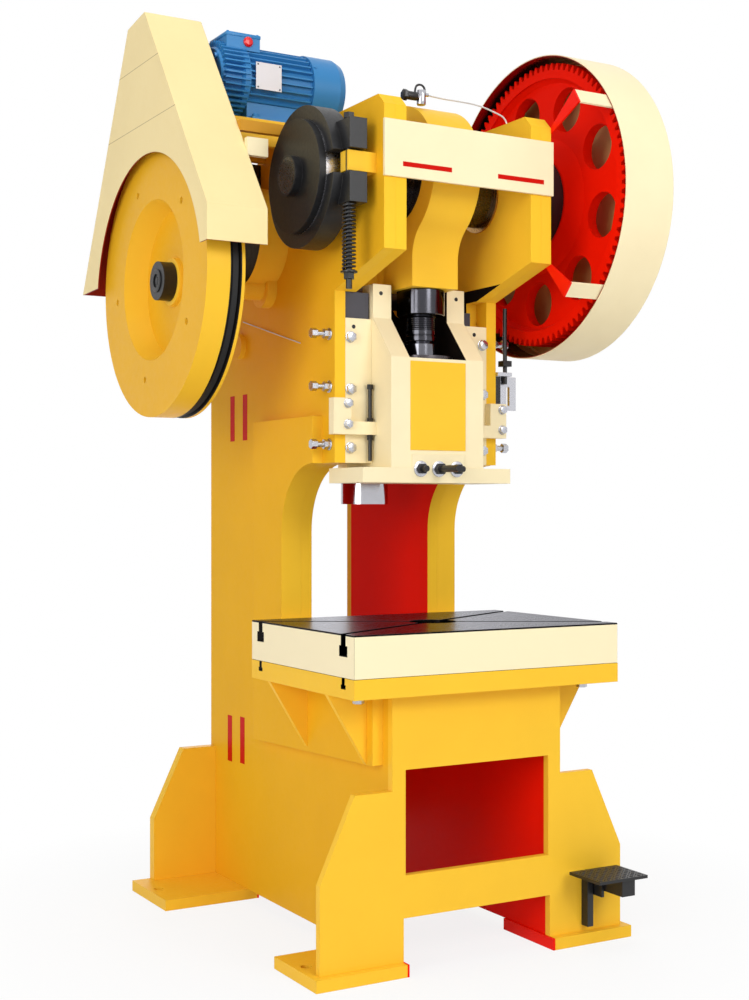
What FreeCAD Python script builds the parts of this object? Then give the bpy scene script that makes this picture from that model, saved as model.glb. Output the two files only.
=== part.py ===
import FreeCAD, Part
import Sketcher
import math
import os
import re

# Mechanical power press with a plain C-shaped welded frame.
# Millimetres. X runs to the right, Y to the back and Z up. The origin lies on the floor,
# on the centre plane of the press, at the front face of the base front plate.

sizes = {
    # welded frame, side view
    "side_outer": 193,
    "side_wall": 24,
    "liner_wall": 25,
    "pad_wall": 22,
    "front_wall": 15,
    "rear_wall": 25,
    "foot_wall": 23,
    "column_front": 417,
    "column_back": 830,
    "liner_back": 765,
    "table_under": 523,
    "throat_top": 958,
    "throat_round": 138,
    "guide_front": 224,
    "guide_seat": 262,
    "guide_top": 1300,
    "crown_front": 30,
    "crown_under": 1355,
    "crown_top": 1648,
    "crown_slope": 22,
    "crown_back": 560,
    "shoulder_back": 700,
    "shoulder_top": 1450,
    "column_top": 1120,
    # outer pads and table gussets
    "pad_front": 35,
    "pad_back": 555,
    "pad_low_front": 387,
    "pad_low_back": 368,
    "pad_top": 1053,
    "pad_upper_front": 277,
    "gusset_wall": 12,
    "gusset_inset": 2,
    "gusset_drop": 137,
    "gusset_front": 58,
    "gusset_rear": 300,
    # base plates and feet
    "leg_inner": 168,
    "leg_arch": 105,
    "wing_knee": 344.5,
    "wing_top": 272.5,
    "front_knee_rise": 186,
    "front_wing_rise": 343,
    "rear_knee_rise": 162,
    "rear_wing_rise": 316,
    "window_half": 164,
    "window_low": 184.5,
    "window_high": 381,
    "foot_inner": 165,
    "front_foot_outer": 360,
    "front_foot_start": -16,
    "front_foot_end": 155,
    "rear_foot_outer": 387,
    "rear_foot_start": 630,
    "foot_hole": 11,
    "foot_hole_inset": 24,
    # bed, bolster and its slots
    "table_half": 300,
    "table_front": -47,
    "table_back": 381,
    "bed_wall": 37,
    "bolster_wall": 80,
    "slug_hole": 48,
    "slot_angle": 30,
    "slot_width": 14,
    "slot_depth": 30,
    "slot_foot": 24,
    "slot_foot_height": 12,
    "bed_slot_width": 10,
    "bed_slot_depth": 20,
    "bed_slot_foot": 16,
    "bed_slot_foot_height": 8,
    # crown cover
    "cover_half": 195,
    "cover_wall": 6,
    "cover_low": 1490,
    "cover_high": 1597,
    # crankshaft, bushes and brake
    "crank_y": 213,
    "crank_z": 1512,
    "crank_throw": 25,
    "journal": 60,
    "eccentric": 95,
    "bush_outer": 70,
    "bush_stand": 4,
    "crank_end": 35,
    "fit": 0.05,
    "drum_face": 290,
    "drum_back": 222,
    "drum_radius": 110,
    "drum_rim": 16,
    "drum_disc": 14,
    "drum_hub": 39,
    "drum_hub_back": 242,
    "drum_nose": 16,
    "band_gap": 0.3,
    "band_wall": 27,
    "band_face": 275,
    "band_back": 230,
    "lug_front": 50,
    "lug_outer": 255,
    "lug_inner": 218,
    "lug_low": 1440,
    "lug_height": 57,
    "lug_gap": 44,
    "brake_rod": 6,
    "brake_rod_low": 1279,
    "brake_rod_high": 1603,
    "brake_nut": 11,
    "anchor_depth": 30,
    "spring_wire": 2.2,
    "spring_radius": 11.5,
    "spring_turns": 12,
    "spring_low": 1312,
    # connecting rod and its adjusting screw
    "rod_half": 54,
    "big_end": 140,
    "shank_half": 56,
    "shank_low": 1310,
    "shank_round": 75,
    "nut_radius": 49,
    "nut_height": 52,
    "screw_radius": 25,
    "screw_low": 1174,
    "ball_radius": 32,
    "ball_top": 1200,
    "socket_bore": 60,
    "socket_outer": 65,
    "socket_low": 1122,
    "socket_top": 1174,
    # slide and gibs
    "slide_half": 109,
    "slide_front": 146,
    "slide_low": 918,
    "flange_height": 30,
    "flange_half": 174,
    "flange_back": 283,
    "slide_nose": 1167,
    "slide_brow": 1250,
    "slide_upper_front": 218,
    "slide_top": 1318,
    "slot_half": 66,
    "tongue_back": 300,
    "tongue_top": 1249,
    "shank_bore": 15,
    "shank_bore_depth": 60,
    "cap_half": 62,
    "cap_height": 57,
    "cap_depth": 46,
    "panel_half": 65,
    "panel_low": 983,
    "panel_high": 1160,
    "panel_wall": 1,
    "stud_spread": 42.6,
    "stud_rise": 28,
    "stud_radius": 6,
    "stud_stand": 27,
    "stud_nut": 11,
    "clamp_radius": 7,
    "clamp_stand": 77,
    "clamp_head": 12,
    "gib_low": 958,
    "gib_high": 1247,
    "gib_wall": 60,
    "gib_top_wall": 30,
    "gib_bolt_x": 158,
    "gib_bolt_head": 10,
    "adjuster_y": 246,
    "adjuster_radius": 6,
    "adjuster_nut": 14,
    "adjuster_head": 12,
    "adjuster_reach": 42,
    # knock-out stops
    "stop_wall": 20,
    "stop_low": 1014,
    "stop_high": 1086,
    "stop_arm": 26,
    "stop_inner": 109,
    "stop_edge": 167,
    "stop_outer": 206,
    "stop_x": 118,
    "stop_radius": 4,
    "stop_bolt_low": 962,
    "stop_bolt_high": 1112,
    "stop_nut": 7,
    # gear drive
    "gear_module": 6,
    "gear_teeth": 97,
    "pinion_teeth": 21,
    "drive_angle": 29.5,
    "backlash": 0.9,
    "gear_face": 291,
    "gear_width": 60,
    "gear_rim": 266,
    "gear_web": 22,
    "gear_dish": 16,
    "gear_hub": 104,
    "gear_hub_slope": 40,
    "gear_hole": 46,
    "gear_hole_ring": 207,
    "gear_hole_turn": 14,
    "gear_holes": 9,
    "clutch_radius": 101,
    "clutch_start": 200,
    "end_cap_radius": 58,
    "end_cap_wall": 8,
    "guard_radius": 318,
    "guard_drop": 7,
    "guard_wall": 3,
    "guard_start": 274,
    "guard_end": 394,
    "strap_width": 33,
    "strap_wall": 4,
    # flywheel, pinion shaft and belt
    "shaft_radius": 25,
    "housing_radius": 40,
    "housing_stand": 22,
    "boss_radius": 106,
    "boss_stand": 67,
    "boss_y": 529,
    "boss_z": 1446,
    "port_radius": 28,
    "port_stand": 12,
    "port_y": 665,
    "port_z": 1228,
    "pinion_start": 285,
    "pinion_width": 72,
    "fly_face": 460,
    "fly_back": 380,
    "fly_radius": 282,
    "fly_recess": 165,
    "fly_recess_floor": 150,
    "fly_web_face": 412,
    "fly_web_back": 386,
    "fly_hub": 52,
    "fly_hole": 7,
    "fly_hole_ring": 207,
    "fly_hole_turn": 6,
    "fly_holes": 5,
    "groove_face": 408,
    "groove_back": 389,
    "groove_depth": 14,
    "groove_slope": 3,
    "cap_radius": 40,
    "cap_face": 450,
    "belt_wall": 9,
    "pulley_radius": 46,
    "pulley_rim": 6,
    # motor and its seat
    "motor_y": 508,
    "motor_z": 1768,
    "motor_radius": 75,
    "fin_depth": 9,
    "fin_wall": 3.2,
    "fins": 30,
    "motor_drive_end": 300,
    "shield_wall": 24,
    "motor_body_end": 129,
    "motor_fan_end": 44,
    "fan_round": 22,
    "motor_shaft": 12,
    "motor_base": 100,
    "motor_foot_wall": 12,
    "motor_foot_half": 80,
    "box_start": 322,
    "box_end": 246,
    "box_front": 456,
    "box_depth": 84,
    "box_low": 1822,
    "box_height": 36,
    "seat_wall": 20,
    "seat_front": 400,
    "seat_back": 612,
    "seat_outer": 345,
    "seat_lip": 34,
    # belt guard
    "hood_face": 480,
    "hood_inner": 354,
    "hood_wall": 3,
    "hood_front": 195,
    "hood_low_front": 1371,
    "hood_chin": 1440,
    "hood_top_front": 515,
    "hood_top": 1887,
    "hood_top_back": 610,
    "hood_top_rear": 1876,
    "hood_back": 898,
    "hood_low_back": 1352,
    "hood_opening": 291,
    "hood_opening_y": 512,
    "hood_opening_z": 1302,
    "hood_bar_width": 22,
    "hood_bar_y": 320,
    "hood_bar_z": 1618,
    "hood_bar_wall": 14,
    "hood_tab_y": 286,
    "hood_tab_z": 1562,
    "hood_tab_reach": 45,
    "rear_bar_y": 690,
    "rear_bar_z": 1390,
    "rear_bar_wall": 8,
    # cross web and the polished cylinder below it
    "cross_web_low": 1000,
    "cross_web_wall": 25,
    "cross_web_depth": 120,
    "cross_web_lap": 20,
    "crown_web_rise": 60,
    "crown_web_inset": 60,
    "ram_cylinder": 51,
    "ram_cylinder_y": 446,
    "ram_cylinder_low": 876,
    # foot pedal and its bracket
    "pedal_bar_start": 246,
    "pedal_bar_width": 14,
    "pedal_bar_low": 36,
    "pedal_bar_high": 140,
    "cheek_left": 262,
    "cheek_right": 300,
    "cheek_wall": 6,
    "cheek_front": -44,
    "cheek_low": 98,
    "cheek_high": 134,
    "pedal_pin_y": -30,
    "pedal_pin_z": 122,
    "pedal_pin": 4,
    "tread_start": 203,
    "tread_width": 118,
    "tread_front": -113,
    "tread_depth": 96,
    "tread_low": 144,
    "tread_wall": 6,
    "arm_front": -100,
    "arm_depth": 84,
    "arm_low": 110,
    # trip rod, its plate, ear and slotted lever
    "trip_x": 218,
    "trip_y": 226,
    "trip_radius": 4.5,
    "trip_low": 1130,
    "trip_high": 1290,
    "trip_block": 21,
    "trip_block_low": 1167,
    "trip_block_height": 12,
    "trip_plate_wall": 14,
    "trip_plate_depth": 34,
    "trip_plate_low": 1088,
    "ear_low": 1146,
    "ear_wall": 8,
    "ear_reach": 36,
    "ear_front": 216,
    "ear_depth": 24,
    "lever_front": 232,
    "lever_wall": 8,
    "lever_low": 1075,
    "lever_reach": 44,
    "lever_slot_x": 226,
    "lever_slot": 8,
    "lever_slot_low": 1085,
    "lever_slot_height": 40,
}

doc = FreeCAD.newDocument("PowerPress")
sheet = doc.addObject("Spreadsheet::Sheet", "Sizes")
for row, (name, number) in enumerate(sizes.items(), start=1):
    sheet.set("A%d" % row, name)
    sheet.set("B%d" % row, str(number))
    sheet.setAlias("B%d" % row, name)
doc.recompute()

nodes = []
sides = (("left", -1), ("right", 1))


def bound(formula):
    """The formula with each size name pointed at its cell in the sheet."""
    def cell(word):
        return "Sizes." + word.group() if word.group() in sizes else word.group()
    return re.sub(r"[a-z]\w*", cell, str(formula))


def bind(thing, **formulas):
    """Bind properties to formulas. A double underscore in a name stands for a dot."""
    for name, formula in formulas.items():
        thing.setExpression(name.replace("__", "."), bound(formula))


def place(thing, spot, axis="Z"):
    """Put a piece at a spot given by three formulas, its own Z turned to the named axis."""
    turns = {
        "X": (FreeCAD.Vector(0, 1, 0), 90),
        "Y": (FreeCAD.Vector(1, 0, 0), -90),
        "Z": (FreeCAD.Vector(0, 0, 1), 0),
    }
    thing.Placement = FreeCAD.Placement(FreeCAD.Vector(), FreeCAD.Rotation(*turns[axis]))
    bind(thing, Placement__Base__x=spot[0], Placement__Base__y=spot[1], Placement__Base__z=spot[2])
    return thing


def keep(thing, label=None):
    """Name a finished sub-part and put it on the list of files."""
    if label:
        thing.Label = label
    nodes.append(thing)
    return thing


# sketches and features -------------------------------------------------------


def profile(body, plane, start, corners=(), circles=()):
    """A sketch on an origin plane: a closed outline of (across, up) formulas, and circles."""
    sketch = body.newObject("Sketcher::SketchObject", body.Name + "_outline")
    origin = [item for item in body.Origin.OriginFeatures if item.Role == plane + "_Plane"][0]
    sketch.AttachmentSupport = [(origin, "")]
    sketch.MapMode = "FlatFace"
    bind(sketch, AttachmentOffset__Base__z="-(%s)" % start if plane == "XZ" else start)
    count = len(corners)
    ring = [FreeCAD.Vector(math.cos(2 * math.pi * i / count), math.sin(2 * math.pi * i / count), 0)
            for i in range(count)]
    for i in range(count):
        sketch.addGeometry(Part.LineSegment(ring[i], ring[(i + 1) % count]), False)
    for i in range(count):
        sketch.addConstraint(Sketcher.Constraint("Coincident", i, 2, (i + 1) % count, 1))
    for i, corner in enumerate(corners):
        for kind, formula in (("DistanceX", corner[0]), ("DistanceY", corner[1])):
            index = sketch.addConstraint(Sketcher.Constraint(kind, -1, 1, i, 1, 1.0 + i))
            sketch.setExpression("Constraints[%d]" % index, bound(formula))
    for across, up, radius in circles:
        number = sketch.addGeometry(Part.Circle(FreeCAD.Vector(), FreeCAD.Vector(0, 0, 1), 1), False)
        index = sketch.addConstraint(Sketcher.Constraint("Radius", number, 1.0))
        sketch.setExpression("Constraints[%d]" % index, bound(radius))
        for kind, formula in (("DistanceX", across), ("DistanceY", up)):
            index = sketch.addConstraint(Sketcher.Constraint(kind, -1, 1, number, 3, 1.0))
            sketch.setExpression("Constraints[%d]" % index, bound(formula))
    doc.recompute()
    return sketch


def pad(body, sketch, length):
    feature = body.newObject("PartDesign::Pad", body.Name + "_pad")
    feature.Profile = sketch
    feature.Reversed = sketch.AttachmentSupport[0][0].Role == "XZ_Plane"
    bind(feature, Length=length)
    doc.recompute()
    return feature


def pocket(body, sketch, length):
    """Cut a sketch's outline from its plane towards +X, +Y or +Z."""
    before = body.Shape.Volume
    feature = body.newObject("PartDesign::Pocket", body.Name + "_pocket")
    feature.Profile = sketch
    feature.Reversed = sketch.AttachmentSupport[0][0].Role != "XZ_Plane"
    bind(feature, Length=length)
    doc.recompute()
    if not feature.Shape.Volume < before:
        raise RuntimeError("%s cuts nothing" % feature.Name)
    return feature


def round_corners(body, sketch, corners):
    """Round the edges that rise from the outline corners that carry a radius."""
    radii = sorted({corner[2] for corner in corners if len(corner) > 2})
    for radius in radii:
        base = body.Tip
        spots = [sketch.Placement.multVec(sketch.Geometry[i].StartPoint)
                 for i, corner in enumerate(corners) if len(corner) > 2 and corner[2] == radius]
        rise = sketch.Placement.Rotation.multVec(FreeCAD.Vector(0, 0, 1))
        names = []
        for number, edge in enumerate(base.Shape.Edges, start=1):
            ends = [vertex.Point for vertex in edge.Vertexes]
            for spot in spots:
                if len(ends) == 2 and all(end.distanceToLine(spot, rise) < 0.01 for end in ends):
                    names.append("Edge%d" % number)
        fillet = body.newObject("PartDesign::Fillet", body.Name + "_round")
        fillet.Base = (base, names)
        bind(fillet, Radius=radius)
        doc.recompute()


def plate(label, plane, start, length, corners, circles=()):
    """A plate of one outline, with round holes and rounded corners."""
    body = doc.addObject("PartDesign::Body", label)
    body.Label = label
    sketch = profile(body, plane, start, corners, circles)
    pad(body, sketch, length)
    round_corners(body, sketch, corners)
    return body


def mirrored_plates(name, near, far, corners, circles=()):
    """The left and the right plate between two distances from the centre plane."""
    starts = {"left": "-(%s)" % far, "right": near}
    return {side: plate("%s_%s" % (name, side), "YZ", starts[side], "%s - (%s)" % (far, near), corners, circles)
            for side, sign in sides}


def turned(label, axis, spot, corners):
    """A turned piece: (along, radius) corners swung round the named axis through the spot."""
    body = doc.addObject("PartDesign::Body", label)
    body.Label = label
    if axis == "X":
        sketch = profile(body, "XZ", "0", corners)
    else:
        swapped = [(radius, along) for along, radius in corners]
        sketch = profile(body, "XZ" if axis == "Z" else "XY", "0", swapped)
    revolution = body.newObject("PartDesign::Revolution", label + "_turn")
    revolution.Profile = sketch
    revolution.ReferenceAxis = (sketch, ["H_Axis" if axis == "X" else "V_Axis"])
    revolution.Angle = 360
    bind(body, Placement__Base__x=spot[0], Placement__Base__y=spot[1], Placement__Base__z=spot[2])
    doc.recompute()
    return body


def repeat_round(body, feature, count):
    """Repeat a feature round the body's own X axis."""
    pattern = body.newObject("PartDesign::PolarPattern", body.Name + "_ring")
    pattern.Originals = [feature]
    axis = [item for item in body.Origin.OriginFeatures if item.Role == "X_Axis"][0]
    pattern.Axis = (axis, [""])
    pattern.Angle = 360
    bind(pattern, Occurrences=count)
    body.Tip = pattern
    doc.recompute()


# solids made of plain primitives ----------------------------------------------


def block(low, size):
    """A box from its lowest corner and its size along X, Y and Z."""
    box = doc.addObject("Part::Box", "Block")
    bind(box, Length=size[0], Width=size[1], Height=size[2])
    return place(box, low)


def rod(axis, spot, radius, length):
    cylinder = doc.addObject("Part::Cylinder", "Rod")
    bind(cylinder, Radius=radius, Height=length)
    return place(cylinder, spot, axis)


def hexagon(axis, spot, radius, length):
    prism = doc.addObject("Part::Prism", "Hexagon")
    prism.Polygon = 6
    bind(prism, Circumradius=radius, Height=length)
    return place(prism, spot, axis)


def joined(label, pieces):
    fuse = doc.addObject("Part::MultiFuse", label)
    fuse.Shapes = pieces
    fuse.Refine = True
    return fuse


def less(label, base, tool):
    cut = doc.addObject("Part::Cut", label)
    cut.Base = base
    cut.Tool = tool
    cut.Refine = True
    return cut


def together(label, pieces):
    """Separate solids of one sub-part."""
    group = doc.addObject("Part::Compound", label)
    group.Links = pieces
    return group


# the welded frame ---------------------------------------------------------------

shaft_y = "crank_y + gear_module * (gear_teeth + pinion_teeth) / 2 * cos(drive_angle)"
shaft_z = "crank_z - gear_module * (gear_teeth + pinion_teeth) / 2 * sin(drive_angle)"
bores = [("crank_y", "crank_z", "bush_outer + fit"), (shaft_y, shaft_z, "housing_radius + fit")]
crown_line = [
    ("guide_front", "guide_top"),
    ("crown_front", "crown_under"),
    ("crown_front", "crown_top - crown_slope"),
    ("crown_front + crown_slope", "crown_top"),
    ("crown_back", "crown_top"),
    ("shoulder_back", "shoulder_top"),
]
side_line = [
    ("front_wall", "foot_wall"),
    ("front_wall", "table_under"),
    ("column_front", "table_under"),
    ("column_front", "throat_top", "throat_round"),
    ("guide_front", "throat_top"),
] + crown_line + [
    ("column_back", "column_top"),
    ("column_back", "foot_wall"),
]
side_plates = mirrored_plates("side_plate", "side_outer - side_wall", "side_outer", side_line, bores)

liner_line = [
    ("column_front", "table_under"),
    ("column_front", "throat_top", "throat_round"),
    ("guide_seat", "throat_top"),
    ("guide_seat", "guide_top"),
] + crown_line + [
    ("liner_back", "column_top"),
    ("liner_back", "table_under"),
]
liner_inner = "side_outer - side_wall - liner_wall"
for liner in mirrored_plates("frame_liner", liner_inner, "side_outer - side_wall", liner_line, bores).values():
    keep(liner)

pad_line = [
    ("pad_front", "pad_low_front"),
    ("pad_front", "table_under"),
    ("column_front", "table_under"),
    ("column_front", "throat_top", "throat_round"),
    ("pad_upper_front", "throat_top"),
    ("pad_upper_front", "pad_top"),
    ("pad_back", "pad_top"),
    ("pad_back", "pad_low_back"),
]
pad_outer = "side_outer + pad_wall"
port_boss = rod("X", ("-(side_outer + port_stand)", "port_y", "port_z"), "port_radius", "port_stand")
for side, pad_plate in mirrored_plates("pad_plate", "side_outer", pad_outer, pad_line).items():
    extra = [port_boss] if side == "left" else []
    keep(joined("frame_side_" + side, [side_plates[side], pad_plate] + extra))


def wing(sign, knee_rise, wing_rise, inner):
    """The outward wing of a base plate, from the floor plate up to the frame side."""
    flip = "" if sign > 0 else "-"
    return [(flip + across, up) for across, up in (
        (inner, "foot_wall"),
        ("wing_knee", "foot_wall"),
        ("wing_knee", knee_rise),
        ("wing_top", wing_rise),
        ("side_outer", wing_rise),
    )]


right_wing = wing(1, "front_knee_rise", "front_wing_rise", "leg_inner")
left_wing = wing(-1, "front_knee_rise", "front_wing_rise", "leg_inner")
front_line = right_wing + [("side_outer", "table_under"), ("-side_outer", "table_under")]
front_line += left_wing[::-1] + [("-leg_inner", "leg_arch"), ("leg_inner", "leg_arch")]
front_plate = plate("base_front_plate", "XZ", "0", "front_wall", front_line)
window = [("-window_half", "window_low"), ("window_half", "window_low"),
          ("window_half", "window_high"), ("-window_half", "window_high")]
pocket(front_plate, profile(front_plate, "XZ", "0", window), "front_wall")
keep(front_plate)

rear_plates = []
for side, sign in sides:
    rear_wing = wing(sign, "rear_knee_rise", "rear_wing_rise", "side_outer")
    rear_plates.append(plate("rear_wing_" + side, "XZ", "column_back - rear_wall", "rear_wall", rear_wing))
inner_half = "(side_outer - side_wall)"
rear_web = [("-" + inner_half, "leg_arch"), (inner_half, "leg_arch"),
            (inner_half, "table_under"), ("-" + inner_half, "table_under")]
rear_plates.append(plate("rear_web", "XZ", "column_back - rear_wall", "rear_wall", rear_web))
keep(together("base_rear_plates", rear_plates))

for end, start, stop, outer in (("front", "front_foot_start", "front_foot_end", "front_foot_outer"),
                                ("rear", "rear_foot_start", "column_back", "rear_foot_outer")):
    feet = []
    for side, sign in sides:
        flip = "" if sign > 0 else "-"
        foot_line = [(flip + "foot_inner", start), (flip + outer, start),
                     (flip + outer, stop), (flip + "foot_inner", stop)]
        middle = "(%s + %s) / 2" % (start, stop)
        hole = [("%s(%s - foot_hole_inset)" % (flip, outer), middle, "foot_hole")]
        feet.append(plate("foot_%s_%s" % (end, side), "XY", "0", "foot_wall", foot_line, hole))
    keep(together("foot_plates_" + end, feet))

gussets = []
for side, sign in sides:
    flip = "" if sign > 0 else "-"
    gusset_line = [(flip + "(%s)" % pad_outer, "table_under"),
                   (flip + "(table_half - gusset_inset)", "table_under"),
                   (flip + "(%s)" % pad_outer, "table_under - gusset_drop")]
    for spot in ("gusset_front", "gusset_rear"):
        gussets.append(plate("gusset_%s_%s" % (side, spot), "XZ", spot, "gusset_wall", gusset_line))
keep(together("table_gussets", gussets))

crown_web_low = "throat_top + crown_web_rise"
crown_web = [("-(%s)" % liner_inner, crown_web_low), (liner_inner, crown_web_low),
             (liner_inner, "shoulder_top"), ("-(%s)" % liner_inner, "shoulder_top")]
crown_back = plate("crown_back", "XZ", "shoulder_back - crown_web_inset", "side_wall", crown_web)
throat_web = block(("-(%s)" % liner_inner, "column_front - cross_web_lap", "cross_web_low"),
                   ("2 * (%s)" % liner_inner, "cross_web_depth", "cross_web_wall"))
keep(together("frame_cross_webs", [crown_back, throat_web]))
keep(plate("crown_cover_plate", "XZ", "crown_front - cover_wall", "cover_wall",
           [("-cover_half", "cover_low"), ("cover_half", "cover_low"),
            ("cover_half", "cover_high"), ("-cover_half", "cover_high")]))

# the bed and the slotted bolster ---------------------------------------------------

table_line = [("-table_half", "table_front"), ("table_half", "table_front"),
              ("table_half", "table_back"), ("-table_half", "table_back")]
table_middle = "(table_front + table_back) / 2"
slug = [("0", table_middle, "slug_hole")]


def slot_bars(name, top):
    """Two crossed bars of T-shaped section, their upper faces just above the given height."""
    width = name + "_width / 2"
    foot = name + "_foot / 2"
    depth = "-%s_depth" % name
    step = "-%s_depth + %s_foot_height" % (name, name)
    line = [("-" + width, "1"), ("-" + width, step), ("-" + foot, step), ("-" + foot, depth),
            (foot, depth), (foot, step), (width, step), (width, "1")]
    bars = []
    for turn in ("slot_angle", "-slot_angle"):
        bar = plate(name + "_bar", "YZ", "-table_half * 1.3", "table_half * 2.6", line)
        place(bar, ("0", table_middle, top))
        bind(bar, Placement__Rotation__Angle=turn)
        bars.append(bar)
    return joined(name + "_bars", bars)


bolster_low = "table_under + bed_wall"
bolster_top = "table_under + bed_wall + bolster_wall"
bed = plate("bed_blank", "XY", "table_under", "bed_wall", table_line, slug)
keep(less("bed_plate", bed, slot_bars("bed_slot", bolster_low)))
bolster = plate("bolster_blank", "XY", bolster_low, "bolster_wall", table_line, slug)
keep(less("bolster_plate", bolster, slot_bars("slot", bolster_top)))

# crankshaft, bushes, connecting rod ---------------------------------------------------

crank = ("0", "crank_y", "crank_z")
bushes = []
for side, sign in sides:
    flip = "" if sign > 0 else "-"
    ends = [flip + "(%s - bush_stand)" % liner_inner, flip + "(side_outer + bush_stand)"]
    bush = [(ends[0], "journal + fit"), (ends[1], "journal + fit"),
            (ends[1], "bush_outer"), (ends[0], "bush_outer")]
    bushes.append(turned("bush_" + side, "X", crank, bush))
keep(together("main_bushes", bushes))

shaft_line = [
    ("-(drum_face + drum_nose)", "0"), ("-(drum_face + drum_nose)", "crank_end"),
    ("-(side_outer + bush_stand + 2)", "crank_end"), ("-(side_outer + bush_stand + 2)", "journal"),
    ("clutch_start - 1", "journal"), ("clutch_start - 1", "crank_end"),
    ("gear_face + gear_width + end_cap_wall", "crank_end"), ("gear_face + gear_width + end_cap_wall", "0"),
]
main_shaft = turned("main_shaft", "X", crank, shaft_line)
eccentric = rod("X", ("-rod_half", "crank_y", "crank_z + crank_throw"), "eccentric", "2 * rod_half")
keep(joined("crankshaft", [main_shaft, eccentric]))

pin_z = "(crank_z + crank_throw)"
eye = rod("X", ("-rod_half", "crank_y", pin_z), "big_end", "2 * rod_half")
shank = block(("-rod_half", "crank_y - shank_half", "shank_low"),
              ("2 * rod_half", "2 * shank_half", pin_z + " - shank_low"))
rod_blank = joined("rod_blank", [eye, shank])
doc.recompute()
waist = []
for number, edge in enumerate(rod_blank.Shape.Edges, start=1):
    across = abs(edge.Length - 2 * sizes["rod_half"]) < 0.01
    if across and edge.Vertexes[0].Z > sizes["shank_low"] + 1:
        waist.append((number, sizes["shank_round"], sizes["shank_round"]))
rod_round = doc.addObject("Part::Fillet", "rod_round")
rod_round.Base = rod_blank
rod_round.Edges = waist
bore = rod("X", ("-rod_half - 1", "crank_y", pin_z), "eccentric + fit", "2 * rod_half + 2")
thread = rod("Z", ("0", "crank_y", "shank_low - 1"), "screw_radius + fit", "nut_height")
keep(less("connecting_rod", less("rod_bored", rod_round, bore), thread))

keep(turned("lock_nut", "Z", ("0", "crank_y", "0"), [
    ("shank_low - nut_height", "screw_radius + fit"), ("shank_low", "screw_radius + fit"),
    ("shank_low", "nut_radius"), ("shank_low - nut_height", "nut_radius")]))
screw_top = "shank_low + nut_height - 4"
keep(turned("adjusting_screw", "Z", ("0", "crank_y", "0"), [
    ("screw_low", "0"), ("screw_low", "ball_radius"), ("ball_top", "ball_radius"),
    ("ball_top", "screw_radius"), (screw_top, "screw_radius"), (screw_top, "0")]))

# slide, gibs and their fittings --------------------------------------------------------

flange_top = "slide_low + flange_height"
slide_line = [
    ("slide_front", "slide_low"), ("slide_front", "slide_nose"), ("slide_upper_front", "slide_brow"),
    ("slide_upper_front", "slide_top"), ("guide_seat - 2", "slide_top"), ("guide_seat - 2", "slide_low"),
]
slide_body = plate("slide_body", "YZ", "-(slide_half - fit)", "2 * (slide_half - fit)", slide_line)
tongue = block(("-(%s - fit)" % liner_inner, "guide_seat + fit", flange_top),
               ("2 * (%s - fit)" % liner_inner, "tongue_back - guide_seat - fit",
                "tongue_top - (%s)" % flange_top))
neck = block(("-(slide_half - fit)", "guide_seat - 3", "slide_low"),
             ("2 * (slide_half - fit)", "4", "tongue_top - slide_low"))
flange = block(("-flange_half", "slide_front - 2", "slide_low"),
               ("2 * flange_half", "flange_back - slide_front + 2", "flange_height"))
slot_cut = block(("-slot_half", "slide_front - 1", "slide_nose"),
                 ("2 * slot_half", "tongue_back - slide_front + 2", "slide_top - slide_nose + 1"))
socket_cut = rod("Z", ("0", "crank_y", "socket_low"), "socket_bore", "slide_nose - socket_low + 1")
cap_cut = block(("-cap_half", "slide_front - 3", "slide_low - 1"),
                ("2 * cap_half", "cap_depth + 3", "cap_height + 1"))
bore_cut = rod("Z", ("0", "slide_front - 2 + cap_depth", "slide_low - 1"), "shank_bore", "shank_bore_depth + 1")
slide = joined("slide_blank", [slide_body, tongue, neck, flange])
for tool in (slot_cut, socket_cut, cap_cut, bore_cut):
    slide = less("slide_stage", slide, tool)
slide.Label = "slide"
keep(slide)

keep(turned("ball_socket", "Z", ("0", "crank_y", "0"), [
    ("slide_nose", "socket_bore"), ("socket_top", "socket_bore"),
    ("socket_top", "socket_outer"), ("slide_nose", "socket_outer")]))
cap = block(("-cap_half", "slide_front - 2", "slide_low"), ("2 * cap_half", "cap_depth", "cap_height"))
cap_bore = rod("Z", ("0", "slide_front - 2 + cap_depth", "slide_low - 1"), "shank_bore", "cap_height + 2")
keep(less("ram_clamp_cap", cap, cap_bore))
keep(block(("-panel_half", "slide_front - panel_wall", "panel_low"),
           ("2 * panel_half", "panel_wall", "panel_high - panel_low")), "slide_panel")

stud_z = "slide_low + stud_rise"
studs = []
for spread in ("-stud_spread", "stud_spread"):
    studs.append(hexagon("Y", (spread, "slide_front - 14", stud_z), "stud_nut", "12"))
    studs.append(rod("Y", (spread, "slide_front - stud_stand", stud_z), "stud_radius", "stud_stand - 2"))
clamp = [hexagon("Y", ("0", "slide_front - 16", stud_z), "clamp_head", "14"),
         rod("Y", ("0", "slide_front - clamp_stand", stud_z), "clamp_radius", "clamp_stand - 2")]
keep(joined("clamp_screws", studs + clamp))


def beside(sign, near, far):
    """The lower X of a piece that lies between two distances out from the centre plane."""
    return near if sign > 0 else "-(%s)" % far


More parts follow.
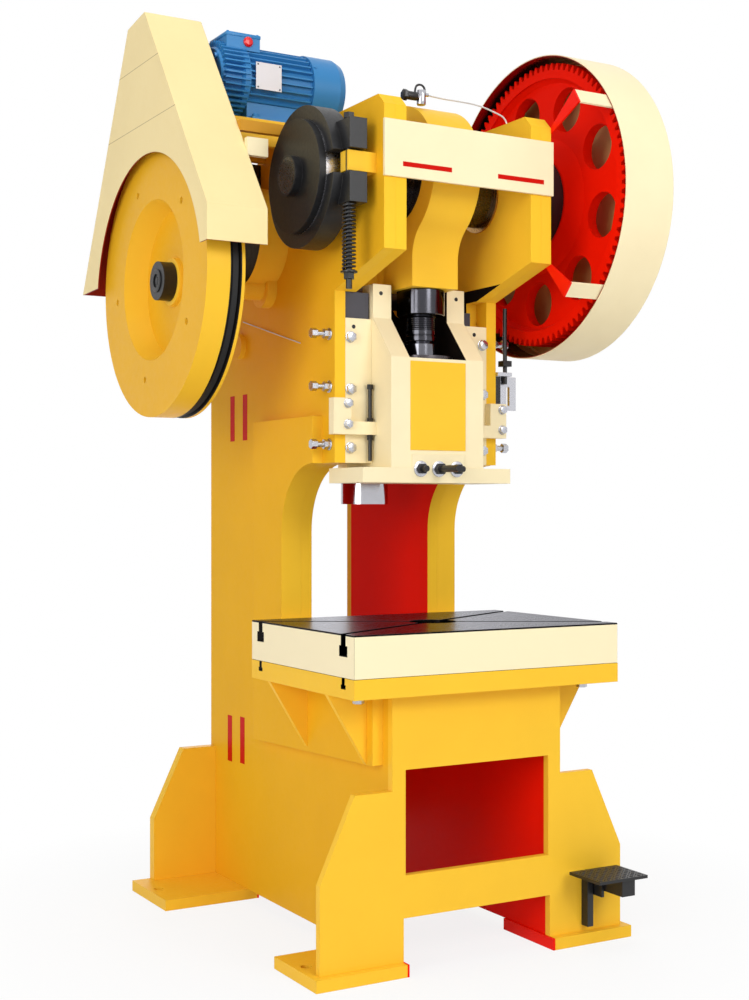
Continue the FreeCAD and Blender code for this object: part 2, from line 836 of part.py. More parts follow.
gibs = []
bolts = []
shelves = []
adjusters = []
brackets = []
stops = []
shelf_sizes = {"left": ("slide_half + 3", "slide_half + gib_wall - 3", "guide_top - gib_high"),
               "right": ("slide_half + 3", "slide_half + 23", "28")}
adjuster_heights = {"left": ("1215", "1110", "995"), "right": ("1215", "995")}
for side, sign in sides:
    gibs.append(block((beside(sign, "slide_half", "slide_half + gib_wall"), "guide_front", "gib_low"),
                      ("gib_wall", "guide_seat - guide_front", "gib_high - gib_low")))
    flip = "" if sign > 0 else "-"
    for height in ("1209", "1108", "988"):
        bolts.append(hexagon("Y", (flip + "gib_bolt_x", "guide_front - gib_bolt_head", height),
                             "gib_bolt_head", "gib_bolt_head"))
    near, far, rise = shelf_sizes[side]
    shelves.append(block((beside(sign, near, far), "guide_front + 6", "gib_high"),
                         ("%s - (%s)" % (far, near), "gib_top_wall", rise)))
    for height in adjuster_heights[side]:
        near = beside(sign, "side_outer", "side_outer + adjuster_nut")
        adjusters.append(hexagon("X", (near, "adjuster_y", height), "10", "adjuster_nut"))
        middle = beside(sign, "side_outer + adjuster_nut - 1", "side_outer + adjuster_reach - 10")
        adjusters.append(rod("X", (middle, "adjuster_y", height), "adjuster_radius",
                             "adjuster_reach - adjuster_nut - 9"))
        far = beside(sign, "side_outer + adjuster_reach - adjuster_head", "side_outer + adjuster_reach")
        adjusters.append(hexagon("X", (far, "adjuster_y", height), "10", "adjuster_head"))
    # knock-out stop: an angle bracket on the gib face with a stop bolt standing in its arm
    bracket_y = "guide_front - stop_wall"
    bracket_face = block((beside(sign, "stop_edge - 1", "stop_outer"), bracket_y, "stop_low"),
                         ("stop_outer - stop_edge + 1", "stop_wall", "stop_high - stop_low"))
    arm = block((beside(sign, "stop_inner", "stop_edge"), bracket_y, "stop_low"),
                ("stop_edge - stop_inner", "stop_wall", "stop_arm"))
    bracket = joined("bracket_blank_" + side, [bracket_face, arm])
    stop_y = "guide_front - stop_wall / 2"
    hole = rod("Z", (flip + "stop_x", stop_y, "stop_low - 14"), "stop_radius + fit", "stop_arm + 28")
    brackets.append(less("stop_bracket_" + side, bracket, hole))
    stops.append(rod("Z", (flip + "stop_x", stop_y, "stop_bolt_low"), "stop_radius",
                     "stop_bolt_high - stop_bolt_low"))
    for low, height in (("stop_bolt_high - 6", "9"), ("stop_low + stop_arm", "8"), ("stop_low - 10", "10")):
        stops.append(hexagon("Z", (flip + "stop_x", stop_y, low), "stop_nut", height))
keep(together("gibs", gibs))
keep(together("gib_bolts", bolts))
keep(together("gib_top_plates", shelves))
keep(joined("gib_adjusters", adjusters))
keep(together("stop_brackets", brackets))
keep(joined("stop_bolts", stops))

# brake on the left end of the crankshaft --------------------------------------------------

disc_back = "-(drum_face - drum_disc)"
rim_inner = "drum_radius - drum_rim"
keep(turned("brake_drum", "X", crank, [
    ("-(drum_face + drum_nose)", "crank_end + fit"), ("-(drum_face + drum_nose)", "drum_hub"),
    ("-drum_face", "drum_hub"), ("-drum_face", "drum_radius"),
    ("-drum_back", "drum_radius"), ("-drum_back", rim_inner), (disc_back, rim_inner), (disc_back, "drum_hub"),
    ("-drum_hub_back", "drum_hub"), ("-drum_hub_back", "crank_end + fit")]))

band_inner = "drum_radius + band_gap"
band_outer = "drum_radius + band_gap + band_wall"
band = turned("band_ring", "X", crank, [
    ("-band_face", band_inner), ("-band_back", band_inner),
    ("-band_back", band_outer), ("-band_face", band_outer)])
split = block(("-band_face - 1", "crank_y - drum_radius - 60", "lug_low + lug_height"),
              ("band_face", "70", "lug_gap"))
lug_size = ("lug_outer - lug_inner", "crank_y - lug_front - drum_radius + 12", "lug_height")
lug_low = block(("-lug_outer", "lug_front", "lug_low"), lug_size)
lug_high = block(("-lug_outer", "lug_front", "lug_low + lug_height + lug_gap"), lug_size)
drum_space = rod("X", ("-lug_outer - 1", "crank_y", "crank_z"), band_inner, "lug_outer - lug_inner + 2")
brake_x = "-lug_outer + 8"
brake_y = "lug_front + 18"
brake_hole = rod("Z", (brake_x, brake_y, "brake_rod_low"), "brake_rod + 0.3", "brake_rod_high - brake_rod_low")
lugs = less("lug_pair", joined("lugs", [lug_low, lug_high]), drum_space)
keep(less("brake_band", joined("band_blank", [less("band_split", band, split), lugs]), brake_hole))

keep(joined("brake_bolt", [
    rod("Z", (brake_x, brake_y, "brake_rod_low"), "brake_rod", "brake_rod_high - brake_rod_low - 2"),
    hexagon("Z", (brake_x, brake_y, "lug_low + 2 * lug_height + lug_gap"), "brake_nut", "10"),
    hexagon("Z", (brake_x, brake_y, "spring_low - 15"), "brake_nut", "12"),
    rod("Z", (brake_x, brake_y, "spring_low - 3"), "brake_nut + 5", "3")]))
anchor_blank = block(("-lug_outer + 2", "lug_front + 10", "lug_low + lug_height + 3"),
                     ("lug_outer - side_outer - 2", "anchor_depth", "lug_gap - 6"))
anchor_hole = rod("Z", (brake_x, brake_y, "lug_low + lug_height"), "brake_rod + 0.3", "lug_gap")
keep(less("brake_anchor", anchor_blank, anchor_hole))


def helix_tube(radius, wire, low, high, turns):
    """One unbroken coiled wire: a pipe along quarter-turn arcs."""
    rise = (high - low - 2 * wire) / turns
    def spot(step):
        angle = step * math.pi / 4
        return FreeCAD.Vector(radius * math.cos(angle), radius * math.sin(angle), low + wire + rise * step / 8)
    arcs = [Part.Arc(spot(step), spot(step + 1), spot(step + 2)).toShape() for step in range(0, 8 * turns, 2)]
    path = Part.Wire(arcs)
    heading = arcs[0].tangentAt(arcs[0].FirstParameter)
    ring = Part.Wire(Part.Circle(spot(0), heading, wire).toShape())
    print("spring gap between turns: %.2f mm" % (rise - 2 * wire))
    return path.makePipeShell([ring], True, False)


spring = doc.addObject("Part::Feature", "brake_spring")
spring.Shape = helix_tube(sizes["spring_radius"], sizes["spring_wire"], sizes["spring_low"],
                          sizes["lug_low"], sizes["spring_turns"])
keep(place(spring, (brake_x, brake_y, "0")))

# gear drive ------------------------------------------------------------------------------


def tooth_outline(teeth, turn):
    """The closed outline of a spur wheel in the YZ plane, one tooth pointing along the turn angle."""
    module = sizes["gear_module"]
    pressure = math.radians(20)
    pitch = module * teeth / 2
    base = pitch * math.cos(pressure)
    root = pitch - 1.25 * module
    half = (math.pi * module / 2 - sizes["backlash"]) / 2 / pitch
    rises = [max(base, root + 0.3 * module), pitch, pitch + module]
    slants = [math.acos(base / rise) for rise in rises]
    leans = [half + math.tan(pressure) - pressure - math.tan(slant) + slant for slant in slants]
    flank = [(root, leans[0] + 0.02 * module / pitch)] + list(zip(rises, leans))
    spots = []
    for tooth in range(teeth):
        middle = turn + 2 * math.pi * tooth / teeth
        for rise, lean in flank:
            spots.append((rise, middle - lean))
        for rise, lean in reversed(flank):
            spots.append((rise, middle + lean))
    points = [FreeCAD.Vector(0, rise * math.cos(angle), rise * math.sin(angle)) for rise, angle in spots]
    return Part.makePolygon(points + points[:1])


def toothed_ring(label, teeth, turn, width, bore):
    ring = doc.addObject("Part::Feature", label)
    hole = Part.Wire(Part.Circle(FreeCAD.Vector(), FreeCAD.Vector(1, 0, 0), bore).toShape())
    face = Part.Face(tooth_outline(teeth, turn)).cut(Part.Face(hole)).Faces[0]
    ring.Shape = face.extrude(FreeCAD.Vector(width, 0, 0))
    return ring


mesh_angle = -math.radians(sizes["drive_angle"])
gear_ring = toothed_ring("gear_ring", sizes["gear_teeth"], mesh_angle, sizes["gear_width"], sizes["gear_rim"])
place(gear_ring, ("gear_face", "crank_y", "crank_z"))
web_face = "gear_face + gear_dish"
web_back = "gear_face + gear_dish + gear_web"
gear_disc = turned("gear_disc", "X", crank, [
    ("gear_face - 4", "crank_end + fit"), ("gear_face - 4", "gear_hub"),
    (web_face, "gear_hub + gear_hub_slope"), (web_face, "gear_rim - 8"),
    ("gear_face + 4", "gear_rim + 1"), ("gear_face + gear_width - 4", "gear_rim + 1"),
    (web_back, "gear_rim - 8"), (web_back, "gear_hub + gear_hub_slope"),
    ("gear_face + gear_width", "gear_hub"), ("gear_face + gear_width", "crank_end + fit")])
gear_hole_spot = ("-gear_hole_ring * cos(gear_hole_turn)", "-gear_hole_ring * sin(gear_hole_turn)", "gear_hole")
hole_sketch = profile(gear_disc, "YZ", "gear_face", circles=[gear_hole_spot])
repeat_round(gear_disc, pocket(gear_disc, hole_sketch, "gear_width"), "gear_holes")
keep(joined("drive_gear", [gear_ring, gear_disc]))

keep(turned("clutch_ring", "X", crank, [
    ("clutch_start", "crank_end + fit"), ("clutch_start", "clutch_radius"),
    ("gear_face - 5", "clutch_radius"), ("gear_face - 5", "crank_end + fit")]))
end_cap_start = "gear_face + gear_width + 0.3"
end_cap_stop = "gear_face + gear_width + end_cap_wall"
keep(turned("crank_end_cap", "X", crank, [
    (end_cap_start, "crank_end + fit"), (end_cap_start, "end_cap_radius"),
    (end_cap_stop, "end_cap_radius"), (end_cap_stop, "crank_end + fit")]))

pinion_shaft = ("0", shaft_y, shaft_z)
gap_turn = mesh_angle + math.pi + math.pi / sizes["pinion_teeth"]
pinion = toothed_ring("drive_pinion", sizes["pinion_teeth"], gap_turn, sizes["pinion_width"],
                      sizes["shaft_radius"] - 1)
place(pinion, ("pinion_start", shaft_y, shaft_z))
shaft_bar = turned("pinion_shaft_bar", "X", pinion_shaft, [
    ("-(cap_face - 6)", "0"), ("-(cap_face - 6)", "shaft_radius"),
    ("pinion_start + pinion_width + 4", "shaft_radius"), ("pinion_start + pinion_width + 4", "0")])
keep(joined("pinion_shaft", [pinion, shaft_bar]))
housings = {}
for side, sign in sides:
    flip = "" if sign > 0 else "-"
    ends = [flip + "(%s - 6)" % liner_inner, flip + "(side_outer + housing_stand)"]
    housing = [(ends[0], "shaft_radius + fit"), (ends[1], "shaft_radius + fit"),
               (ends[1], "housing_radius"), (ends[0], "housing_radius")]
    housings[side] = turned("housing_" + side, "X", pinion_shaft, housing)
boss = rod("X", ("-(side_outer + boss_stand)", "boss_y", "boss_z"), "boss_radius", "boss_stand")
boss_bore = rod("X", ("-(side_outer + boss_stand + 1)", shaft_y, shaft_z),
                "shaft_radius + fit", "boss_stand + 1")
left_housing = joined("housing_with_boss", [housings["left"], less("boss_bored", boss, boss_bore)])
keep(together("shaft_housings", [left_housing, housings["right"]]))

guard_middle = ("0", "crank_y", "crank_z - guard_drop")
guard = turned("guard_band", "X", guard_middle, [
    ("guard_start", "guard_radius - guard_wall"), ("guard_start", "guard_radius"),
    ("guard_end", "guard_radius"), ("guard_end", "guard_radius - guard_wall")])
pinion_space = rod("X", ("guard_start + 4", shaft_y, shaft_z),
                   "gear_module * (pinion_teeth / 2 + 1) + 8", "pinion_width + 24")
keep(less("gear_guard", guard, pinion_space))

straps = []
strap_reach = "guard_radius - guard_wall - 1.5"
for name, angle in (("upper", 147.5), ("lower", 221.4), ("rear", 20)):
    strap_line = [(strap_reach, "strap_width / 2"), (strap_reach, "-strap_width / 2"),
                  ("guard_radius * 0.6", "-2"), ("guard_radius * 0.6", "2")]
    web = plate("strap_web_" + name, "YZ", "side_outer", "strap_wall", strap_line)
    bar = block(("side_outer", strap_reach + " - strap_wall", "-strap_width / 2"),
                ("guard_start - side_outer + 12", "strap_wall", "strap_width"))
    strap = joined("guard_strap_" + name, [web, bar])
    strap.Placement = FreeCAD.Placement(FreeCAD.Vector(), FreeCAD.Rotation(FreeCAD.Vector(1, 0, 0), angle))
    bind(strap, Placement__Base__y=guard_middle[1], Placement__Base__z=guard_middle[2])
    straps.append(strap)
keep(together("guard_straps", straps))

# flywheel, pulley and belt -------------------------------------------------------------------

flywheel = turned("flywheel", "X", pinion_shaft, [
    ("-fly_web_face - 3", "shaft_radius + fit"), ("-fly_web_face - 3", "fly_hub"), ("-fly_web_face", "fly_hub"),
    ("-fly_web_face", "fly_recess_floor"), ("-fly_face", "fly_recess"), ("-fly_face", "fly_radius"),
    ("-groove_face", "fly_radius"), ("-(groove_face - groove_slope)", "fly_radius - groove_depth"),
    ("-(groove_back + groove_slope)", "fly_radius - groove_depth"), ("-groove_back", "fly_radius"),
    ("-fly_back", "fly_radius"), ("-fly_back", "fly_radius - 30"), ("-fly_web_back", "fly_radius - 30"),
    ("-fly_web_back", "fly_hub"), ("-fly_back", "fly_hub"), ("-fly_back", "shaft_radius + fit")])
fly_hole_spot = ("fly_hole_ring * cos(fly_hole_turn)", "-fly_hole_ring * sin(fly_hole_turn)", "fly_hole")
hole_sketch = profile(flywheel, "YZ", "-fly_face", circles=[fly_hole_spot])
repeat_round(flywheel, pocket(flywheel, hole_sketch, "30"), "fly_holes")
keep(flywheel)
keep(turned("flywheel_cap", "X", pinion_shaft, [
    ("-cap_face", "0"), ("-cap_face", "cap_radius"),
    ("-(fly_web_face + 3)", "cap_radius"), ("-(fly_web_face + 3)", "shaft_radius + fit"),
    ("-(cap_face - 6)", "shaft_radius + fit"), ("-(cap_face - 6)", "0")]))

motor = ("0", "motor_y", "motor_z")
keep(turned("motor_pulley", "X", motor, [
    ("-(groove_face + pulley_rim)", "motor_shaft + fit"), ("-(groove_face + pulley_rim)", "pulley_radius"),
    ("-groove_face", "pulley_radius"), ("-(groove_face - groove_slope)", "pulley_radius - groove_depth"),
    ("-(groove_back + groove_slope)", "pulley_radius - groove_depth"), ("-groove_back", "pulley_radius"),
    ("-(groove_back - pulley_rim)", "pulley_radius"), ("-(groove_back - pulley_rim)", "motor_shaft + fit")]))
keep(turned("motor_shaft_bar", "X", motor, [
    ("-(groove_face + pulley_rim + 4)", "0"), ("-(groove_face + pulley_rim + 4)", "motor_shaft"),
    ("-(motor_drive_end + 0.3)", "motor_shaft"), ("-(motor_drive_end + 0.3)", "0")]), "motor_shaft")


def belt_loop(inset):
    """The wire round flywheel and pulley that lies a distance above the groove floors."""
    turn = math.radians(sizes["drive_angle"])
    reach = sizes["gear_module"] * (sizes["gear_teeth"] + sizes["pinion_teeth"]) / 2
    low = FreeCAD.Vector(0, sizes["crank_y"] + reach * math.cos(turn),
                         sizes["crank_z"] - reach * math.sin(turn))
    high = FreeCAD.Vector(0, sizes["motor_y"], sizes["motor_z"])
    big = sizes["fly_radius"] - sizes["groove_depth"] + inset
    small = sizes["pulley_radius"] - sizes["groove_depth"] + inset
    span = high - low
    heading = math.atan2(span.z, span.y)
    lean = math.acos((big - small) / span.Length)
    def rim(centre, radius, angle):
        return centre + FreeCAD.Vector(0, radius * math.cos(angle), radius * math.sin(angle))
    left = [rim(low, big, heading + lean), rim(high, small, heading + lean)]
    right = [rim(low, big, heading - lean), rim(high, small, heading - lean)]
    return Part.Wire([
        Part.makeLine(left[0], left[1]),
        Part.Arc(left[1], rim(high, small, heading), right[1]).toShape(),
        Part.makeLine(right[1], right[0]),
        Part.Arc(right[0], rim(low, big, heading + math.pi), left[0]).toShape()])


belt = doc.addObject("Part::Feature", "v_belt")
belt_width = sizes["groove_face"] - sizes["groove_back"] - 2 * sizes["groove_slope"] - 2 * sizes["band_gap"]
belt_outside = Part.Face(belt_loop(sizes["band_gap"] + sizes["belt_wall"]))
belt_face = belt_outside.cut(Part.Face(belt_loop(sizes["band_gap"]))).Faces[0]
belt.Shape = belt_face.extrude(FreeCAD.Vector(belt_width, 0, 0))
keep(place(belt, ("-(groove_face - groove_slope - band_gap)", "0", "0")))

# motor on its seat ------------------------------------------------------------------------------

core = "motor_radius - fin_depth"
motor_barrel = turned("motor_barrel", "X", motor, [
    ("-motor_drive_end", "0"), ("-motor_drive_end", "motor_radius - 22"),
    ("-(motor_drive_end - shield_wall / 2)", "motor_radius"),
    ("-(motor_drive_end - shield_wall)", "motor_radius"), ("-(motor_drive_end - shield_wall)", core),
    ("-motor_body_end", core), ("-motor_body_end", "0")])
fin_line = [("-fin_wall / 2", core + " - 2"), ("fin_wall / 2", core + " - 2"),
            ("fin_wall / 2", "motor_radius"), ("-fin_wall / 2", "motor_radius")]
fin_sketch = profile(motor_barrel, "YZ", "-(motor_drive_end - shield_wall)", fin_line)
barrel_length = "motor_drive_end - shield_wall - motor_body_end"
repeat_round(motor_barrel, pad(motor_barrel, fin_sketch, barrel_length + " - 3"), "fins")
cover_radius = "motor_radius + 2"
keep(turned("motor_fan_cover", "X", motor, [
    ("-motor_body_end", "0"), ("-motor_body_end", cover_radius),
    ("-(motor_fan_end + fan_round)", cover_radius),
    ("-(motor_fan_end + fan_round * 0.3)", cover_radius + " - fan_round * 0.3"),
    ("-motor_fan_end", cover_radius + " - fan_round"), ("-motor_fan_end", "0")]))
box = block(("-box_start", "box_front", "box_low"), ("box_start - box_end", "box_depth", "box_height"))
box_seat = rod("X", ("-box_start - 1", "motor_y", "motor_z"), "motor_radius + 0.3", "box_start - box_end + 2")
keep(less("motor_terminal_box", box, box_seat))
foot_z = "(motor_z - motor_base)"
foot_block = block(("-(motor_drive_end - shield_wall)", "motor_y - motor_foot_half", foot_z),
                   (barrel_length + " - 20", "2 * motor_foot_half", "motor_base - 50"))
foot_seat = rod("X", ("-motor_drive_end", "motor_y", "motor_z"), core + " - 1", "motor_drive_end")
feet = less("foot_stage", foot_block, foot_seat)
notches = [block(("-motor_drive_end", "motor_y + %s" % edge, foot_z + " + motor_foot_wall"),
                 ("motor_drive_end", "30", "motor_base"))
           for edge in ("motor_foot_half - 29", "(-motor_foot_half - 1)")]
keep(joined("motor_body", [motor_barrel, less("motor_feet", feet, joined("foot_notches", notches))]))

seat_pieces = [block(("-seat_outer", "seat_front", "crown_top"),
                     ("seat_outer - motor_fan_end - 20", "seat_back - seat_front", "seat_wall"))]
for lip_y in ("seat_front", "seat_back - 72"):
    seat_pieces.append(block(("-seat_outer", lip_y, "crown_top - seat_lip"),
                             ("seat_outer - side_outer", "12", "seat_lip")))
keep(joined("motor_seat", seat_pieces))

# belt guard ------------------------------------------------------------------------------------------

hood_line = [
    ("hood_front", "hood_low_front"), ("hood_front", "hood_chin"), ("hood_top_front", "hood_top"),
    ("hood_top_back", "hood_top_rear"), ("hood_back", "hood_low_back"),
]
hood = plate("belt_guard", "YZ", "-hood_face", "hood_face - hood_inner", hood_line)
inside_line = [
    ("hood_front + hood_wall", "hood_low_front - 40"), ("hood_front + hood_wall", "hood_chin - 1"),
    ("hood_top_front + 2", "hood_top - hood_wall"), ("hood_top_back - 2", "hood_top_rear - hood_wall"),
    ("hood_back - hood_wall - 1", "hood_low_back - 1"), ("hood_back - hood_wall - 1", "hood_low_back - 40")]
pocket(hood, profile(hood, "YZ", "-(hood_face - hood_wall)", inside_line), "hood_face - hood_inner")
opening_circle = [("hood_opening_y", "hood_opening_z", "hood_opening")]
pocket(hood, profile(hood, "YZ", "-hood_face - 1", circles=opening_circle), "hood_wall + 2")
keep(hood)
bar_reach = "hood_inner - side_outer"
hood_bars = [
    block(("-hood_inner", "hood_bar_y", "hood_bar_z"), (bar_reach, "hood_bar_wall", "hood_bar_width")),
    block(("-hood_inner", "hood_tab_y", "hood_tab_z"), ("hood_tab_reach", "hood_bar_wall", "36")),
    joined("rear_hood_bar", [
        block(("-hood_inner", "rear_bar_y", "rear_bar_z"), (bar_reach, "rear_bar_wall", "hood_bar_width")),
        block(("-hood_inner", "rear_bar_y", "rear_bar_z"),
              ("rear_bar_wall", "hood_back - rear_bar_y - 30", "hood_bar_width"))]),
]
keep(together("hood_brackets", hood_bars))

# polished cylinder under the cross web in the throat ------------------------------------------------

keep(rod("Z", ("0", "ram_cylinder_y", "ram_cylinder_low"), "ram_cylinder",
         "cross_web_low - ram_cylinder_low"), "polished_cylinder")

# foot pedal on the right leg, trip rod on the right side -----------------------------------------------

foot_front = "front_foot_start - 4"
pedal_bar = block(("pedal_bar_start", foot_front, "pedal_bar_low"),
                  ("pedal_bar_width", "-(%s)" % foot_front, "pedal_bar_high - pedal_bar_low"))
cheeks = [block((start, "cheek_front", "cheek_low"), ("cheek_wall", "-cheek_front", "cheek_high - cheek_low"))
          for start in ("cheek_left", "cheek_right")]
pedal_pin = rod("X", ("cheek_left - 4", "pedal_pin_y", "pedal_pin_z"), "pedal_pin",
                "cheek_right - cheek_left + cheek_wall + 6")
keep(joined("pedal_bracket", [pedal_bar] + cheeks + [pedal_pin]))
tread = block(("tread_start", "tread_front", "tread_low"), ("tread_width", "tread_depth", "tread_wall"))
arm_start = "cheek_left + cheek_wall + 0.3"
arm_blank = block((arm_start, "arm_front", "arm_low"),
                  ("cheek_right - 0.3 - (%s)" % arm_start, "arm_depth", "tread_low - arm_low"))
arm_bore = rod("X", ("cheek_left", "pedal_pin_y", "pedal_pin_z"), "pedal_pin + fit",
               "cheek_right - cheek_left + 10")
keep(joined("foot_pedal", [tread, less("pedal_arm", arm_blank, arm_bore)]))

trip_block = block(("trip_x - trip_block / 2", "trip_y - 10", "trip_block_low"),
                   ("trip_block", "20", "trip_block_height"))
keep(joined("trip_rod", [rod("Z", ("trip_x", "trip_y", "trip_low"), "trip_radius", "trip_high - trip_low"),
                         trip_block]))
trip_plate = block(("side_outer", "trip_y", "trip_plate_low"),
                   ("trip_plate_wall", "trip_plate_depth", "ear_low - trip_plate_low"))
ear = less("trip_ear", block(("side_outer", "ear_front", "ear_low"), ("ear_reach", "ear_depth", "ear_wall")),
           rod("Z", ("trip_x", "trip_y", "ear_low - 6"), "trip_radius + fit", "ear_wall + 12"))
lever_blank = block(("side_outer + trip_plate_wall - 1", "lever_front", "lever_low"),
                    ("lever_reach", "lever_wall", "ear_low - lever_low"))
lever_slot = block(("lever_slot_x", "lever_front - 4", "lever_slot_low"),
                   ("lever_slot", "lever_wall + 8", "lever_slot_height"))
keep(joined("trip_lever", [trip_plate, ear, less("lever_slotted", lever_blank, lever_slot)]))

# checks and files ------------------------------------------------------------------------------------------

doc.recompute()
for thing in doc.Objects:
    if "Invalid" in thing.State or "Error" in thing.State:
        raise RuntimeError("%s failed: %s" % (thing.Label, thing.State))
os.makedirs("parts", exist_ok=True)
for thing in nodes:
    shape = thing.Shape
    if shape.isNull() or not shape.isValid() or not shape.Solids:
        raise RuntimeError("%s has no valid solid" % thing.Label)
    shape.exportStep("parts/%s.step" % thing.Label)
print("%d sub-parts written" % len(nodes))
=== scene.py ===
import math

import bmesh
import bpy
from mathutils import Matrix, Vector


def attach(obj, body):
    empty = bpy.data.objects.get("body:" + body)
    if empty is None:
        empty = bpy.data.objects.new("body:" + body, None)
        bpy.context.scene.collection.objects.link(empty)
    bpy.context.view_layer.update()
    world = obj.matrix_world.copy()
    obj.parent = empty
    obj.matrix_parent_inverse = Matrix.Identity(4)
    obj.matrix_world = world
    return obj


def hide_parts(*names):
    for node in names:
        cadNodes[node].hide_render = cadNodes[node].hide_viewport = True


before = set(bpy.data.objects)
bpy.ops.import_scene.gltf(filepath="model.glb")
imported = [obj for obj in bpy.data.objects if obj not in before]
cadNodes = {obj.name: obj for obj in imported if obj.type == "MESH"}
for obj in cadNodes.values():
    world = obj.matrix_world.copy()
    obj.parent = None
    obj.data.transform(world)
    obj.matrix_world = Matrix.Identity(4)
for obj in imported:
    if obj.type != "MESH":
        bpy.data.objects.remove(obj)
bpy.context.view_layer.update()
scene = bpy.context.scene
print("frame loaded:", len(cadNodes), "nodes")

# camera and light

view = {"spot": (-1.6, -2.3801, 0.8725), "turn": 0.522, "lens": 53.77, "rise": 0.0058}
studio = {
    "key": {"spot": (0.6, -4.2, 2.8), "aim": (0, 0.2, 0.9), "size": 2.2, "power": 84},
    "fill": {"spot": (-3.7, -1.7, 1.7), "aim": (0, 0.3, 1.0), "size": 2.4, "power": 66},
    "top": {"spot": (-0.6, -0.6, 4.6), "aim": (0, 0.3, 1.0), "size": 2.4, "power": 34},
    "rear": {"spot": (1.6, 3.8, 2.4), "aim": (0, 0.4, 1.0), "size": 2.4, "power": 30},
    "sky": 0.42,
}

cameraData = bpy.data.cameras.new("camera")
cameraData.lens = view["lens"]
cameraData.shift_y = view["rise"]
cameraObject = bpy.data.objects.new("camera", cameraData)
cameraObject.location = view["spot"]
cameraObject.rotation_euler = (math.pi / 2, 0, -view["turn"])
scene.collection.objects.link(cameraObject)
scene.camera = cameraObject

for lampName in ("key", "fill", "top", "rear"):
    lamp = studio[lampName]
    lampData = bpy.data.lights.new(lampName, "AREA")
    lampData.shape = "DISK"
    lampData.size = lamp["size"]
    lampData.energy = lamp["power"]
    lampObject = bpy.data.objects.new(lampName, lampData)
    lampObject.location = lamp["spot"]
    aim = Vector(lamp["aim"]) - Vector(lamp["spot"])
    lampObject.rotation_euler = aim.to_track_quat("-Z", "Y").to_euler()
    scene.collection.objects.link(lampObject)

scene.view_settings.view_transform = "Standard"


# material helpers


def tone(red, green, blue):  # a screen colour of 0 to 255 as linear light
    linear = []
    for part in (red / 255, green / 255, blue / 255):
        linear.append(part / 12.92 if part < 0.04 else ((part + 0.055) / 1.055) ** 2.4)
    return (*linear, 1)


def newMaterial(name):
    material = bpy.data.materials.new(name)
    material.use_nodes = True
    tree = material.node_tree
    return material, tree, tree.nodes["Principled BSDF"]


def feed(tree, source, target):
    if hasattr(source, "links"):
        tree.links.new(source, target)
    else:
        target.default_value = source


def places(tree, stretch=(1, 1, 1)):  # object coordinates, stretched
    coords = tree.nodes.new("ShaderNodeTexCoord")
    mapping = tree.nodes.new("ShaderNodeMapping")
    mapping.inputs["Scale"].default_value = stretch
    tree.links.new(coords.outputs["Object"], mapping.inputs["Vector"])
    return mapping.outputs["Vector"]


def noise(tree, vector, scale, detail=3, rough=0.55):
    node = tree.nodes.new("ShaderNodeTexNoise")
    node.inputs["Scale"].default_value = scale
    node.inputs["Detail"].default_value = detail
    node.inputs["Roughness"].default_value = rough
    tree.links.new(vector, node.inputs["Vector"])
    return node.outputs["Fac"]


def spread(tree, value, low, high, fromLow=0.3, fromHigh=0.7):
    node = tree.nodes.new("ShaderNodeMapRange")
    feed(tree, value, node.inputs["Value"])
    for name, number in (("From Min", fromLow), ("From Max", fromHigh), ("To Min", low), ("To Max", high)):
        node.inputs[name].default_value = number
    return node.outputs["Result"]


def blendColour(tree, factor, first, second, kind="MIX"):
    node = tree.nodes.new("ShaderNodeMix")
    node.data_type = "RGBA"
    node.blend_type = kind
    feed(tree, factor, node.inputs["Factor"])
    feed(tree, first, node.inputs["A"])
    feed(tree, second, node.inputs["B"])
    return node.outputs["Result"]


def sums(tree, kind, first, second=0.0):
    node = tree.nodes.new("ShaderNodeMath")
    node.operation = kind
    feed(tree, first, node.inputs[0])
    feed(tree, second, node.inputs[1])
    return node.outputs["Value"]


def bump(tree, height, strength, distance, under=None):
    node = tree.nodes.new("ShaderNodeBump")
    node.inputs["Strength"].default_value = strength
    node.inputs["Distance"].default_value = distance
    tree.links.new(height, node.inputs["Height"])
    if under is not None:
        tree.links.new(under, node.inputs["Normal"])
    return node.outputs["Normal"]


def softEdge(tree, radius):  # rounds the look of sharp edges
    node = tree.nodes.new("ShaderNodeBevel")
    node.samples = 4
    node.inputs["Radius"].default_value = radius
    return node.outputs["Normal"]


def along(tree, axis, source="Object"):  # one coordinate of the surface point, or of its normal
    coords = tree.nodes.new("ShaderNodeTexCoord")
    split = tree.nodes.new("ShaderNodeSeparateXYZ")
    tree.links.new(coords.outputs[source], split.inputs[0])
    return split.outputs[axis]


def paintSurface(tree, shader, colour, edge=0.0012, shine=0.28, roughLow=0.34, roughHigh=0.48):
    vector = places(tree)
    cloud = noise(tree, vector, 5, 3)
    speck = noise(tree, vector, 90, 4, 0.6)
    peel = noise(tree, vector, 420, 2, 0.5)
    deeper = blendColour(tree, 1.0, colour, (0.86, 0.82, 0.76, 1), "MULTIPLY")
    tinted = blendColour(tree, spread(tree, cloud, 0.0, 0.32), colour, deeper)
    dusty = blendColour(tree, spread(tree, speck, 0.0, 0.05, 0.35, 0.75), tinted, deeper)
    tree.links.new(dusty, shader.inputs["Base Color"])
    tree.links.new(spread(tree, speck, roughLow, roughHigh), shader.inputs["Roughness"])
    shader.inputs["Specular IOR Level"].default_value = shine
    soft = softEdge(tree, edge)
    waves = bump(tree, cloud, 0.2, 0.0012, soft)
    tree.links.new(bump(tree, peel, 0.15, 0.00015, waves), shader.inputs["Normal"])


def paint(name, colour, edge=0.0012, shine=0.28, roughLow=0.34, roughHigh=0.48):
    material, tree, shader = newMaterial(name)
    paintSurface(tree, shader, colour, edge, shine, roughLow, roughHigh)
    return material


